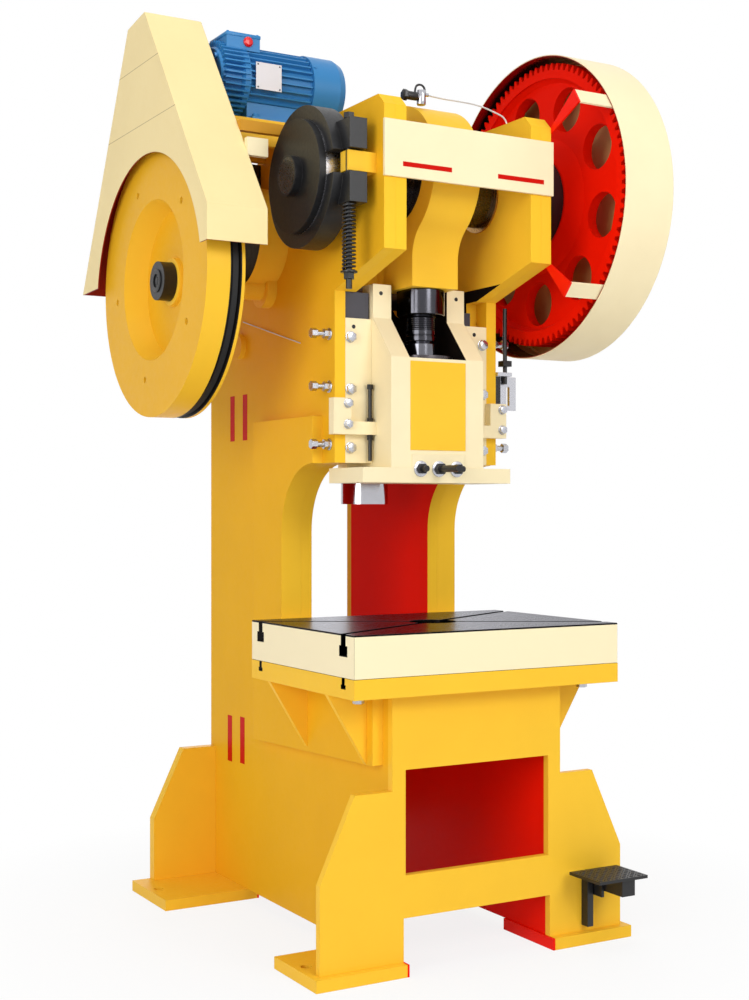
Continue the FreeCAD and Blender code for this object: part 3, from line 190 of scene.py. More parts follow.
def twoTone(name, outside, inside, mask, shine):  # mask(tree) is 1 on the inside colour
    material, tree, shader = newMaterial(name)
    paintSurface(tree, shader, blendColour(tree, mask(tree), outside, inside), shine=shine)
    return material


def yellowShadedLeft(name, inside, mask, shine):  # a deeper yellow on the faces that look left, as painted shade
    material, tree, shader = newMaterial(name)
    outside = blendColour(tree, leftShadeFaces(tree), yellow, paintedShadeYellow)
    paintSurface(tree, shader, blendColour(tree, mask(tree), outside, inside), shine=shine)
    return material


def below(tree, value, limit):
    return sums(tree, "LESS_THAN", value, limit)


def above(tree, value, limit):
    return sums(tree, "GREATER_THAN", value, limit)


def both(tree, first, second):
    return sums(tree, "MULTIPLY", first, second)


def magnitude(tree, value):
    return sums(tree, "ABSOLUTE", value)


def between(tree, value, low, high):
    return both(tree, above(tree, value, low), below(tree, value, high))


def fromAxis(tree, axis):  # distance from a line along X through (y, z)
    offY = sums(tree, "SUBTRACT", along(tree, "Y"), axis[0])
    offZ = sums(tree, "SUBTRACT", along(tree, "Z"), axis[1])
    squares = sums(tree, "ADD", both(tree, offY, offY), both(tree, offZ, offZ))
    return sums(tree, "SQRT", squares)


def metal(name, colour, roughLow, roughHigh, grain=(1, 1, 1), scale=300):
    material, tree, shader = newMaterial(name)
    fine = noise(tree, places(tree, grain), scale, 4, 0.6)
    patch = noise(tree, places(tree), 22, 4, 0.6)
    darker = blendColour(tree, 1.0, colour, (0.72, 0.70, 0.68, 1), "MULTIPLY")
    stained = blendColour(tree, spread(tree, patch, 0.0, 0.35), colour, darker)
    tree.links.new(stained, shader.inputs["Base Color"])
    worn = sums(tree, "ADD", spread(tree, fine, roughLow, roughHigh), spread(tree, patch, -0.04, 0.06))
    tree.links.new(worn, shader.inputs["Roughness"])
    shader.inputs["Metallic"].default_value = 1
    tree.links.new(bump(tree, fine, 0.35, 0.00006, softEdge(tree, 0.0006)), shader.inputs["Normal"])
    return material


def coatedSteel(name, mask, steel, coat, roughLow, roughHigh, edge):  # mask(tree) is 1 on the coat
    material, tree, shader = newMaterial(name)
    fine = noise(tree, places(tree), 300, 4, 0.6)
    coated = mask(tree)
    tree.links.new(blendColour(tree, coated, steel, coat), shader.inputs["Base Color"])
    tree.links.new(sums(tree, "SUBTRACT", 1.0, coated), shader.inputs["Metallic"])
    tree.links.new(spread(tree, fine, roughLow, roughHigh), shader.inputs["Roughness"])
    tree.links.new(bump(tree, fine, 0.3, 0.00006, softEdge(tree, edge)), shader.inputs["Normal"])
    return material


yellow = tone(253, 201, 54)
# a deeper yellow, the painted shade on the faces that look left
paintedShadeYellow = tone(243, 184, 36)
cream = tone(252, 237, 195)
hoodCream = tone(248, 226, 166)
red = tone(250, 26, 3)
# near-black for grease, also used as painted shade behind the slide and around the screw
greaseShade = tone(20, 14, 12)

# places where a colour changes, in metres; an axis is its (y, z)

crankAxis = (0.213, 1.512)
wheelAxis = (0.5211, 1.3377)
guardAxis = (0.213, 1.505)
bedMiddle = 0.167
column = {"innerHalf": 0.1695, "scrapTop": 0.53, "throatTop": 1.02, "pocketLow": 1.03,
          "greaseShadeTop": 1.325, "pocketTop": 1.335}
mouth = {"half": 0.0668, "low": 1.1665}
table = {"half": 0.2996, "reach": 0.2136, "bedSlots": (0.5385, 0.5598), "paintTop": 0.6368, "top": 0.6395}
seams = {"spans": ((1.7822, 1.7838), (1.6577, 1.6593)), "skin": -0.4793}
ends = {"boss": -0.2596, "seatBar": 1.606, "strapLeg": 0.1975, "drum": -0.22, "sleeve": (-0.378, -0.192)}
beltGroove = {"rim": 0.262, "span": (-0.4112, -0.3868)}
trip = {"plate": 0.2064, "plateTop": 1.1455}
drum = {"face": 0.1092, "plate": -0.2765}
ballTop = 1.2004


def innerWall(tree):  # the side plates' faces towards the scrap space
    nearMiddle = below(tree, magnitude(tree, along(tree, "X")), column["innerHalf"])
    return both(tree, nearMiddle, below(tree, along(tree, "Z"), column["scrapTop"]))


def broadFace(tree):  # faces that look left or right
    return above(tree, magnitude(tree, along(tree, "X", "Normal")), 0.7)


def insideHood(tree):  # inner skins and lower edges of the belt guard
    sideways = along(tree, "X", "Normal")
    under = below(tree, along(tree, "Z", "Normal"), -0.05)
    skin = both(tree, under, below(tree, magnitude(tree, sideways), 0.5))
    return sums(tree, "MAXIMUM", skin, above(tree, sideways, 0.5))


def slideMouth(tree):  # walls around the adjusting screw, near-black as grease and as painted shade
    middle = below(tree, magnitude(tree, along(tree, "X")), mouth["half"])
    return both(tree, middle, above(tree, along(tree, "Z"), mouth["low"]))


def behindSlide(tree):  # the shaded pocket above the throat
    return between(tree, along(tree, "Z"), column["pocketLow"], column["pocketTop"])


def footInside(tree):  # the inner halves of the foot plates
    return below(tree, magnitude(tree, along(tree, "X")), column["innerHalf"])


def bossFace(tree):  # end of the shaft boss, black where the bearing sits and partly as painted shade
    return below(tree, along(tree, "X"), ends["boss"])


def seatBar(tree):  # the upper front bar that carries the belt guard
    return above(tree, along(tree, "Z"), ends["seatBar"])


def fromBedMiddle(tree):
    return magnitude(tree, sums(tree, "SUBTRACT", along(tree, "Y"), bedMiddle))


def bedSlots(tree):  # walls of the slots in the bed, painted near-black as shade
    offX = below(tree, magnitude(tree, along(tree, "X")), table["half"])
    within = both(tree, offX, below(tree, fromBedMiddle(tree), table["reach"]))
    return both(tree, within, between(tree, along(tree, "Z"), *table["bedSlots"]))


def strapLegs(tree):  # the straps' legs lie on the frame side
    return below(tree, along(tree, "X"), ends["strapLeg"])


# faces that look left, where the deeper yellow is painted as shade
def leftShadeFaces(tree):
    return below(tree, along(tree, "X", "Normal"), -0.6)


def beltTrack(tree):  # the belt groove of the flywheel, painted near-black
    rim = above(tree, fromAxis(tree, wheelAxis), beltGroove["rim"])
    return both(tree, rim, between(tree, along(tree, "X"), *beltGroove["span"]))


def shaftSleeve(tree):  # painted part between frame and flywheel
    return between(tree, along(tree, "X"), *ends["sleeve"])


def drumEnd(tree):
    return below(tree, along(tree, "X"), ends["drum"])


def tripPlate(tree):
    flat = below(tree, along(tree, "X"), trip["plate"])
    return both(tree, flat, below(tree, along(tree, "Z"), trip["plateTop"]))


yellowPaint = paint("yellowPaint", yellow, shine=0.14)
creamPaint = paint("creamPaint", cream, shine=0.2)


def hoodSurface():  # cream sheet with its two seams; red-brown inside, partly red paint and partly painted shade
    material, tree, shader = newMaterial("hoodPaint")
    z = along(tree, "Z")
    high, low = [between(tree, z, *span) for span in seams["spans"]]
    seam = both(tree, sums(tree, "MAXIMUM", high, low), below(tree, along(tree, "X"), seams["skin"]))
    sheet = blendColour(tree, seam, hoodCream, tone(196, 172, 118))
    colour = blendColour(tree, insideHood(tree), sheet, tone(150, 24, 12))
    paintSurface(tree, shader, colour, 0.002, 0.2)
    return material


hoodPaint = hoodSurface()
redPaint = paint("redPaint", red, shine=0.03)
stripePaint = paint("stripePaint", tone(206, 18, 6), 0.0002, 0.06)
# frame sides: the faces that look left get a deeper yellow as painted shade, the inner walls are red
sidePaint = yellowShadedLeft("sidePaint", red, innerWall, 0.05)


def linerSurface():  # red in the throat, near-black behind the slide as grease and painted shade, yellow elsewhere
    material, tree, shader = newMaterial("linerSurface")
    broad = broadFace(tree)
    z = along(tree, "Z")
    greaseShadeMask = both(tree, broad, between(tree, z, column["pocketLow"], column["greaseShadeTop"]))
    colour = blendColour(tree, both(tree, broad, below(tree, z, column["throatTop"])), yellow, red)
    paintSurface(tree, shader, blendColour(tree, greaseShadeMask, colour, greaseShade), shine=0.02)
    return material


throatPaint = linerSurface()
strapPaint = twoTone("strapPaint", cream, red, strapLegs, shine=0.15)
slidePaint = twoTone("slidePaint", cream, greaseShade, slideMouth, shine=0.2)
# the pocket above the throat is painted near-black, as grease and as painted shade
pocketPaint = twoTone("pocketPaint", yellow, greaseShade, behindSlide, shine=0.1)
footPaint = twoTone("footPaint", yellow, red, footInside, shine=0.12)
bossPaint = twoTone("bossPaint", yellow, tone(14, 12, 13), bossFace, shine=0.14)
# the upper bar is a darker yellow: yellow paint with painted shade in it
bracketPaint = twoTone("bracketPaint", cream, tone(206, 146, 34), seatBar, shine=0.14)
# the slot walls of the bed are painted near-black as shade
bedPaint = twoTone("bedPaint", yellow, tone(16, 13, 11), bedSlots, shine=0.14)
# flywheel: the faces that look left get a deeper yellow as painted shade
flywheelPaint = yellowShadedLeft("flywheelPaint", tone(22, 20, 19), beltTrack, 0.14)
bluePaint = paint("bluePaint", tone(54, 130, 190), 0.0006, 0.3, 0.28, 0.42)

guardInside = {"radius": 0.3165, "greaseShadeTo": 0.352, "darkFrom": 0.284, "darkTo": 0.296}


def guardSurface():  # cream outside; inside, a band by the gear that runs from red to near-black as grease and painted shade, and a darker cream beyond it as painted shade
    material, tree, shader = newMaterial("guardSurface")
    inside = below(tree, fromAxis(tree, guardAxis), guardInside["radius"])
    x = along(tree, "X")
    greaseShadeNoise = noise(tree, places(tree, (1, 0.3, 0.3)), 60, 4, 0.6)
    edge = sums(tree, "ADD", x, spread(tree, greaseShadeNoise, -0.004, 0.004))
    greaseShadeMask = both(tree, inside, below(tree, edge, guardInside["greaseShadeTo"]))
    # the band darkens from red to near-black towards the gear: painted shade over the grease
    depth = spread(tree, edge, 0.0, 1.0, guardInside["darkFrom"], guardInside["darkTo"])
    dark = blendColour(tree, depth, tone(150, 8, 8), tone(22, 5, 4))
    # the inside is a darker cream: painted shade
    shadedInside = blendColour(tree, inside, cream, tone(206, 184, 136))
    colour = blendColour(tree, greaseShadeMask, shadedInside, dark)
    paintSurface(tree, shader, colour, shine=0.2)
    rough = sums(tree, "SUBTRACT", spread(tree, greaseShadeNoise, 0.34, 0.46), both(tree, greaseShadeMask, 0.18))
    tree.links.new(rough, shader.inputs["Roughness"])
    return material


def backSurface():  # the guard's back, browner in uneven patches on the side towards the gear, as painted shade
    material, tree, shader = newMaterial("backSurface")
    inner = below(tree, along(tree, "X", "Normal"), -0.5)
    shadeNoise = noise(tree, places(tree), 6, 4, 0.6)
    paintedShadeBrown = blendColour(tree, spread(tree, shadeNoise, 0.0, 1.0), tone(240, 206, 140), tone(206, 160, 96))
    paintSurface(tree, shader, blendColour(tree, inner, cream, paintedShadeBrown), shine=0.2)
    return material


steelGrey = tone(84, 80, 82)
zincPlate = metal("zincPlate", tone(196, 197, 204), 0.18, 0.32)
turnedSteel = metal("turnedSteel", tone(74, 74, 79), 0.10, 0.20, (1, 1, 12), 160)
darkSteel = metal("darkSteel", steelGrey, 0.22, 0.36)
polishedSteel = metal("polishedSteel", tone(190, 190, 196), 0.08, 0.16)
bronze = metal("bronze", tone(196, 160, 104), 0.22, 0.36)


def dullBlack(name, colour, roughLow, roughHigh, scale, depth):
    material, tree, shader = newMaterial(name)
    vector = places(tree)
    grainy = noise(tree, vector, scale, 5, 0.65)
    patch = noise(tree, vector, 12, 3)
    lighter = blendColour(tree, 1.0, colour, (1.5, 1.5, 1.5, 1), "MULTIPLY")
    mottled = blendColour(tree, spread(tree, patch, 0.0, 0.7), colour, lighter)
    tree.links.new(mottled, shader.inputs["Base Color"])
    tree.links.new(spread(tree, grainy, roughLow, roughHigh), shader.inputs["Roughness"])
    tree.links.new(bump(tree, grainy, 0.35, depth, softEdge(tree, 0.0012)), shader.inputs["Normal"])
    return material


blackPaint = dullBlack("blackPaint", tone(19, 19, 21), 0.34, 0.50, 160, 0.0002)
blackOxide = dullBlack("blackOxide", tone(17, 16, 18), 0.28, 0.42, 300, 0.0001)
beltRubber = dullBlack("beltRubber", tone(20, 20, 21), 0.62, 0.80, 500, 0.0002)
slatePaint = dullBlack("slatePaint", tone(50, 48, 56), 0.36, 0.50, 260, 0.0001)
redPlastic = paint("redPlastic", tone(226, 14, 16), 0.0004, 0.5, 0.2, 0.3)
plateMetal = paint("plateMetal", tone(222, 220, 224), 0.0002, 0.4, 0.34, 0.46)
clearTube = paint("clearTube", tone(214, 214, 214), 0.0003, 0.6, 0.12, 0.2)


def drumSurface():  # black paint, with the rubbed running face bare
    material, tree, shader = newMaterial("drumSurface")
    grainy = noise(tree, places(tree), 160, 5, 0.65)
    running = above(tree, fromAxis(tree, crankAxis), drum["face"])
    bare = both(tree, running, above(tree, along(tree, "X"), drum["plate"]))
    dark = blendColour(tree, spread(tree, grainy, 0.0, 1.0), tone(15, 15, 17), tone(24, 24, 26))
    tree.links.new(blendColour(tree, bare, dark, tone(176, 176, 182)), shader.inputs["Base Color"])
    tree.links.new(bare, shader.inputs["Metallic"])
    shader.inputs["Specular IOR Level"].default_value = 0.35
    rough = sums(tree, "SUBTRACT", spread(tree, grainy, 0.36, 0.5), both(tree, bare, 0.16))
    tree.links.new(rough, shader.inputs["Roughness"])
    tree.links.new(bump(tree, grainy, 0.2, 0.0001, softEdge(tree, 0.0014)), shader.inputs["Normal"])
    return material


def screwSurface():  # dark thread with darker streaks along its length, and a brighter ball below it
    material, tree, shader = newMaterial("screwSurface")
    streaks = noise(tree, places(tree, (1, 1, 0.1)), 120, 4, 0.6)
    ball = below(tree, along(tree, "Z"), ballTop)
    colour = blendColour(tree, ball, tone(58, 58, 63), tone(122, 122, 128))
    darker = blendColour(tree, 1.0, colour, (0.6, 0.6, 0.6, 1), "MULTIPLY")
    streaked = blendColour(tree, spread(tree, streaks, 0.0, 0.8), colour, darker)
    tree.links.new(streaked, shader.inputs["Base Color"])
    shader.inputs["Metallic"].default_value = 1
    tree.links.new(spread(tree, streaks, 0.08, 0.2), shader.inputs["Roughness"])
    tree.links.new(bump(tree, streaks, 0.2, 0.00005, softEdge(tree, 0.0006)), shader.inputs["Normal"])
    return material


shaftSteel = coatedSteel("shaftSurface", shaftSleeve, steelGrey, yellow, 0.24, 0.38, 0.0008)
crankSteel = coatedSteel("crankSurface", drumEnd, steelGrey, tone(30, 30, 32), 0.22, 0.36, 0.0008)
leverZinc = coatedSteel("leverSurface", tripPlate, tone(200, 200, 206), tone(30, 29, 31), 0.2, 0.34, 0.0006)


def bolsterSurface():  # cream sides, ground steel on top, slots painted dark as shade
    material, tree, shader = newMaterial("bolsterSurface")
    high = above(tree, along(tree, "Z"), table["paintTop"])
    offX = above(tree, magnitude(tree, along(tree, "X")), table["half"])
    outer = sums(tree, "MAXIMUM", offX, above(tree, fromBedMiddle(tree), table["reach"]))
    painted = both(tree, outer, sums(tree, "SUBTRACT", 1.0, high))
    fine = noise(tree, places(tree, (1, 40, 1)), 50, 4, 0.6)
    patch = noise(tree, places(tree), 9, 4, 0.6)
    steel = blendColour(tree, spread(tree, patch, 0.0, 1.0), tone(78, 78, 86), tone(56, 56, 63))
    # slot walls and floors below the top are painted dark as shade
    slotShade = below(tree, along(tree, "Z"), table["top"])
    steel = blendColour(tree, slotShade, steel, tone(30, 28, 28))
    tree.links.new(blendColour(tree, painted, steel, cream), shader.inputs["Base Color"])
    bare = sums(tree, "SUBTRACT", 1.0, painted)
    tree.links.new(bare, shader.inputs["Metallic"])
    brushed = spread(tree, fine, 0.20, 0.34)
    rough = sums(tree, "ADD", brushed, both(tree, painted, 0.08))
    tree.links.new(rough, shader.inputs["Roughness"])
    shader.inputs["Specular Tint"].default_value = (0.62, 0.62, 0.65, 1)
    tree.links.new(bump(tree, fine, 0.25, 0.00005, softEdge(tree, 0.0012)), shader.inputs["Normal"])
    return material


finishes = {
    yellowPaint: ["base_front_plate", "base_rear_plates", "table_gussets", "connecting_rod", "motor_seat",
                  "slide_panel", "brake_anchor"],
    bedPaint: ["bed_plate"],
    footPaint: ["foot_plates_front", "foot_plates_rear"],
    bossPaint: ["shaft_housings"],
    bracketPaint: ["hood_brackets"],
    shaftSteel: ["pinion_shaft"],
    crankSteel: ["crankshaft"],
    flywheelPaint: ["flywheel"],
    sidePaint: ["frame_side_left", "frame_side_right"],
    throatPaint: ["frame_liner_left", "frame_liner_right"],
    redPaint: ["drive_gear"],
    creamPaint: ["crown_cover_plate", "gibs", "ram_clamp_cap", "stop_brackets"],
    hoodPaint: ["belt_guard"],
    slidePaint: ["slide"],
    pocketPaint: ["frame_cross_webs"],
    guardSurface(): ["gear_guard"],
    strapPaint: ["guard_straps"],
    drumSurface(): ["brake_drum"],
    leverZinc: ["trip_lever"],
    bluePaint: ["motor_body", "motor_fan_cover", "motor_terminal_box"],
    blackPaint: ["brake_band", "pedal_bracket", "foot_pedal", "clutch_ring", "flywheel_cap"],
    slatePaint: ["gib_top_plates"],
    zincPlate: ["gib_bolts", "gib_adjusters"],
    polishedSteel: ["polished_cylinder"],
    darkSteel: ["motor_pulley", "motor_shaft", "crank_end_cap", "ball_socket"],
    bronze: ["main_bushes"],
    screwSurface(): ["adjusting_screw"],
    blackOxide: ["clamp_screws", "stop_bolts", "brake_bolt", "trip_rod"],
    beltRubber: ["v_belt"],
}
for material, names in finishes.items():
    for name in names:
        node = cadNodes[name]
        node.data.materials.clear()
        node.data.materials.append(material)
print("materials on the frame:", len(finishes))


# shape helpers


def newPiece(bm, name, body, material, sharp=35):
    bmesh.ops.remove_doubles(bm, verts=bm.verts, dist=0.000001)
    bmesh.ops.recalc_face_normals(bm, faces=bm.faces)
    for face in bm.faces:
        face.smooth = True
    for edge in bm.edges:
        edge.smooth = len(edge.link_faces) == 2 and edge.calc_face_angle() < math.radians(sharp)
    mesh = bpy.data.meshes.new(name)
    bm.to_mesh(mesh)
    bm.free()
    mesh.materials.append(material)
    piece = bpy.data.objects.new(name, mesh)
    scene.collection.objects.link(piece)
    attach(piece, body)
    return piece


def facing(axis):  # turns a shape's own Z to the axis
    return Vector(axis).to_track_quat("Z", "Y").to_matrix().to_4x4()


def roundOff(bm, edges, offset, segments=2):
    bmesh.ops.bevel(bm, geom=list(edges), offset=offset, offset_type="OFFSET", segments=segments,
                    profile=0.5, affect="EDGES", material=-1)


def addBlock(bm, place, size):  # a plain block of a size, put at a place
    return bmesh.ops.create_cube(bm, size=1, matrix=place @ Matrix.Diagonal((*size, 1)))["verts"]


def addBox(bm, low, high, rounding=0.0, segments=2):
    middle = (Vector(low) + Vector(high)) / 2
    verts = addBlock(bm, Matrix.Translation(middle), Vector(high) - Vector(low))
    if rounding:
        roundOff(bm, {edge for vert in verts for edge in vert.link_edges}, rounding, segments)


def addRod(bm, start, end, radius, sides=32, rounding=0.0):
    start, end = Vector(start), Vector(end)
    place = Matrix.Translation((start + end) / 2) @ facing(end - start)
    made = bmesh.ops.create_cone(bm, cap_ends=True, segments=sides, radius1=radius, radius2=radius,
                                 depth=(end - start).length, matrix=place)
    if rounding:
        caps = {face for vert in made["verts"] for face in vert.link_faces if len(face.verts) == sides}
        roundOff(bm, {edge for face in caps for edge in face.edges}, rounding)


def addTurned(bm, spot, axis, outline, steps=64):  # closed outline of (along, radius) corners
    verts = [bm.verts.new((radius, 0, height)) for height, radius in outline]
    edges = [bm.edges.new((verts[i], verts[(i + 1) % len(verts)])) for i in range(len(verts))]
    made = bmesh.ops.spin(bm, geom=verts + edges, cent=(0, 0, 0), axis=(0, 0, 1), dvec=(0, 0, 0),
                          angle=2 * math.pi, steps=steps, use_merge=True)
    loose = set(verts)
    for item in made["geom_last"]:
        if isinstance(item, bmesh.types.BMVert):
            loose.add(item)
    reach = set()
    stack = list(loose)
    while stack:
        vert = stack.pop()
        if vert not in reach:
            reach.add(vert)
            stack += [edge.other_vert(vert) for edge in vert.link_edges]
    bmesh.ops.transform(bm, matrix=Matrix.Translation(spot) @ facing(axis), verts=list(reach))


def addHexHead(bm, spot, axis, across, height, washer=0.0):  # stands on the spot along the axis
    axis = Vector(axis).normalized()
    spot = Vector(spot)
    if washer:
        addRod(bm, spot, spot + axis * washer, across * 0.62, 32, rounding=washer * 0.3)
        spot = spot + axis * washer
    top = spot + axis * height
    place = Matrix.Translation((spot + top) / 2) @ facing(axis)
    corner = across * 0.577  # a hexagon's corners from its width across flats
    made = bmesh.ops.create_cone(bm, cap_ends=True, segments=6, radius1=corner, radius2=corner,
                                 depth=height, matrix=place)
    lid = [face for face in {f for v in made["verts"] for f in v.link_faces}
           if len(face.verts) == 6 and (face.calc_center_median() - top).length < 0.0001]
    roundOff(bm, lid[0].edges, across * 0.07)


def addTube(bm, points, radius, sides=12):  # a pipe through a few points, by way of a curve
    curve = bpy.data.curves.new("route", "CURVE")
    curve.dimensions = "3D"
    spline = curve.splines.new("NURBS")
    spline.points.add(len(points) - 1)
    for point, spot in zip(spline.points, points):
        point.co = (*spot, 1)
    spline.order_u = 3
    spline.use_endpoint_u = True
    spline.resolution_u = 8
    curve.bevel_depth = radius
    curve.bevel_resolution = max(1, sides // 4 - 1)
    curve.use_fill_caps = True
    route = bpy.data.objects.new("route", curve)
    bm.from_mesh(bpy.data.meshes.new_from_object(route))
    bpy.data.objects.remove(route)


# bolster plate with its crossed T-slots and the slug hole

bolster = {"low": (-0.300, -0.047, 0.560), "high": (0.300, 0.381, 0.640), "hole": 0.048,
           "turn": 30, "neck": 0.016, "foot": 0.027, "deep": 0.041, "footHigh": 0.020, "round": 0.0012,
           "length": 1.0, "lap": 0.001, "over": 0.01}


def cutter(bm, name):
    bmesh.ops.recalc_face_normals(bm, faces=bm.faces)
    mesh = bpy.data.meshes.new(name)
    bm.to_mesh(mesh)
    bm.free()
    piece = bpy.data.objects.new(name, mesh)
    scene.collection.objects.link(piece)
    return piece


def addSlotBar(bm, turn):
    place = Matrix.Translation((0, bedMiddle, 0)) @ Matrix.Rotation(math.radians(turn), 4, "Z")
    top = bolster["high"][2]
    floor = top - bolster["deep"]
    for wide, low, high in ((bolster["neck"], floor + bolster["lap"], top + bolster["over"]),
                            (bolster["foot"], floor, floor + bolster["footHigh"])):
        rise = Matrix.Translation((0, 0, (low + high) / 2))
        addBlock(bm, place @ rise, (bolster["length"], wide, high - low))


cutters = []
for turn in (bolster["turn"], -bolster["turn"]):
    bm = bmesh.new()
    addSlotBar(bm, turn)
    cutters.append(cutter(bm, "slotCutter"))
bm = bmesh.new()
holeLow, holeHigh = bolster["low"][2] - bolster["over"], bolster["high"][2] + 2 * bolster["over"]
addRod(bm, (0, bedMiddle, holeLow), (0, bedMiddle, holeHigh), bolster["hole"], 64)
cutters.append(cutter(bm, "holeCutter"))
bm = bmesh.new()
addBox(bm, bolster["low"], bolster["high"], bolster["round"], 1)
blank = cutter(bm, "bolsterBlank")
for tool in cutters:
    cut = blank.modifiers.new("cut", "BOOLEAN")
    cut.operation = "DIFFERENCE"
    cut.solver = "EXACT"
    cut.use_self = True
    cut.object = tool
bpy.context.view_layer.update()
cutBlank = blank.evaluated_get(bpy.context.evaluated_depsgraph_get())
bm = bmesh.new()
bm.from_mesh(bpy.data.meshes.new_from_object(cutBlank))
for spare in cutters + [blank]:
    bpy.data.objects.remove(spare)
bolsterPiece = newPiece(bm, "bolsterTop", "frame", bolsterSurface())
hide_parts("bolster_plate")
print("bolster done")

# painted stripes on the cover and the column

stripes = {
    "coverLeft": ((-0.1554, 0.0236, 1.5105), (-0.0460, 0.0240, 1.5195)),
    "coverRight": ((0.0606, 0.0236, 1.5105), (0.1713, 0.0240, 1.5195)),
    "columnTopRear": ((-0.1934, 0.6985, 1.018), (-0.1930, 0.7215, 1.120)),
    "columnTopFront": ((-0.1934, 0.6315, 1.018), (-0.1930, 0.6550, 1.120)),
    "columnLowRear": ((-0.1934, 0.7125, 0.293), (-0.1930, 0.7360, 0.397)),
    "columnLowFront": ((-0.1934, 0.6455, 0.297), (-0.1930, 0.6690, 0.401)),
}
for stripe, (low, high) in stripes.items():
    bm = bmesh.new()
    addBox(bm, low, high, 0.0001, 1)
    newPiece(bm, "stripe" + stripe[0].upper() + stripe[1:], "frame", stripePaint)
print("stripes:", len(stripes))

# coiled spring of the brake

spring = {"spot": (-0.247, 0.068), "radius": 0.0115, "wire": 0.0022, "low": 1.312, "high": 1.440, "turns": 17}

bm = bmesh.new()
ring = bmesh.ops.create_circle(bm, segments=10, radius=spring["wire"],
                               matrix=Matrix.Translation((spring["radius"], 0, 0)) @ facing((0, 1, 0)))
ringEdges = list({edge for vert in ring["verts"] for edge in vert.link_edges})
stepCount = spring["turns"] * 20
rise = (spring["high"] - spring["low"] - 2 * spring["wire"]) / stepCount
bmesh.ops.spin(bm, geom=ring["verts"] + ringEdges, cent=(0, 0, 0), axis=(0, 0, 1), dvec=(0, 0, rise),
               angle=2 * math.pi * spring["turns"], steps=stepCount, use_merge=False)
bmesh.ops.holes_fill(bm, edges=[edge for edge in bm.edges if edge.is_boundary], sides=0)
bmesh.ops.translate(bm, verts=bm.verts, vec=(*spring["spot"], spring["low"] + spring["wire"]))
springPiece = newPiece(bm, "brakeCoil", "frame", blackOxide)
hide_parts("brake_spring")
print("spring done")

# motor: lid, button, rating plate, screws, rear fins and fan grille

motor = {"y": 0.508, "z": 1.768, "hub": 0.020, "end": -0.278, "shield": -0.339}
fins = {"count": 40, "wide": 0.0034, "inner": 0.066, "outer": 0.0788, "chamfer": 0.004, "sink": 0.002}
grille = {"x": -0.0440, "radii": (0.015, 0.024, 0.033, 0.042, 0.051), "foot": 0.0022, "top": 0.0014,
          "high": 0.0012}
lid = {"low": (-0.3235, 0.4545, 1.8500), "high": (-0.2445, 0.5415, 1.8575), "screwIn": 0.0055,
       "screwTop": 1.8600, "screwRadius": 0.0028}
plug = {"spot": (-0.2735, 0.456, 1.841), "radius": 0.0105, "rim": 0.003, "dome": (0.0062, 0.0075),
        "top": 0.0075}
plate = {"low": (-0.267, 0.4298, 1.7390), "high": (-0.208, 0.4306, 1.7950),
         "backLow": (-0.262, 0.4304, 1.7430), "backHigh": (-0.213, 0.4360, 1.7910)}
rivet = {"inX": 0.0045, "inZ": 0.0042, "face": 0.4300, "top": 0.4288, "radius": 0.0018}
shieldBolt = {"circle": 0.056, "across": 0.010, "head": 0.005, "washer": 0.001}
footBolt = {"x": (-0.262, -0.165), "out": 0.065, "z": 1.680, "across": 0.013, "head": 0.008, "washer": 0.0018}
coverScrew = {"x": -0.1235, "circle": 0.0772, "radius": 0.003, "stand": 0.002}


def around(radius, degrees):  # (y, z) on a circle about the motor's axis
    turn = math.radians(degrees)
    return motor["y"] + radius * math.cos(turn), motor["z"] + radius * math.sin(turn)


bm = bmesh.new()
addBox(bm, lid["low"], lid["high"], 0.0014)
newPiece(bm, "terminalLid", "frame", bluePaint)

bm = bmesh.new()
addTurned(bm, plug["spot"], (0, -1, 0),
          [(0, 0), (0, plug["radius"]), (plug["rim"], plug["radius"]), plug["dome"], (plug["top"], 0)], 32)
newPiece(bm, "terminalPlug", "frame", redPlastic)

bm = bmesh.new()
addBox(bm, plate["low"], plate["high"], 0.0002, 1)
addBox(bm, plate["backLow"], plate["backHigh"])
newPiece(bm, "ratingPlate", "frame", plateMetal)
bm = bmesh.new()
for x in (plate["low"][0] + rivet["inX"], plate["high"][0] - rivet["inX"]):
    for z in (plate["low"][2] + rivet["inZ"], plate["high"][2] - rivet["inZ"]):
        addRod(bm, (x, rivet["face"], z), (x, rivet["top"], z), rivet["radius"], 16, rounding=0.0004)
newPiece(bm, "plateRivets", "frame", darkSteel)

bm = bmesh.new()
for x in (lid["low"][0] + lid["screwIn"], lid["high"][0] - lid["screwIn"]):
    for y in (lid["low"][1] + lid["screwIn"], lid["high"][1] - lid["screwIn"]):
        addRod(bm, (x, y, lid["high"][2]), (x, y, lid["screwTop"]), lid["screwRadius"], 20, rounding=0.0006)
for turn in (45, 135, 225, 315):
    addHexHead(bm, (motor["shield"], *around(shieldBolt["circle"], turn)), (-1, 0, 0),
               shieldBolt["across"], shieldBolt["head"], shieldBolt["washer"])
for x in footBolt["x"]:
    for side in (-1, 1):
        addHexHead(bm, (x, motor["y"] + side * footBolt["out"], footBolt["z"]), (0, 0, 1),
                   footBolt["across"], footBolt["head"], footBolt["washer"])
for turn in (30, 150, 270):
    start = (coverScrew["x"], *around(coverScrew["circle"], turn))
    end = (coverScrew["x"], *around(coverScrew["circle"] + coverScrew["stand"], turn))
    addRod(bm, start, end, coverScrew["radius"], 16, rounding=0.0005)
newPiece(bm, "motorScrews", "frame", bluePaint)

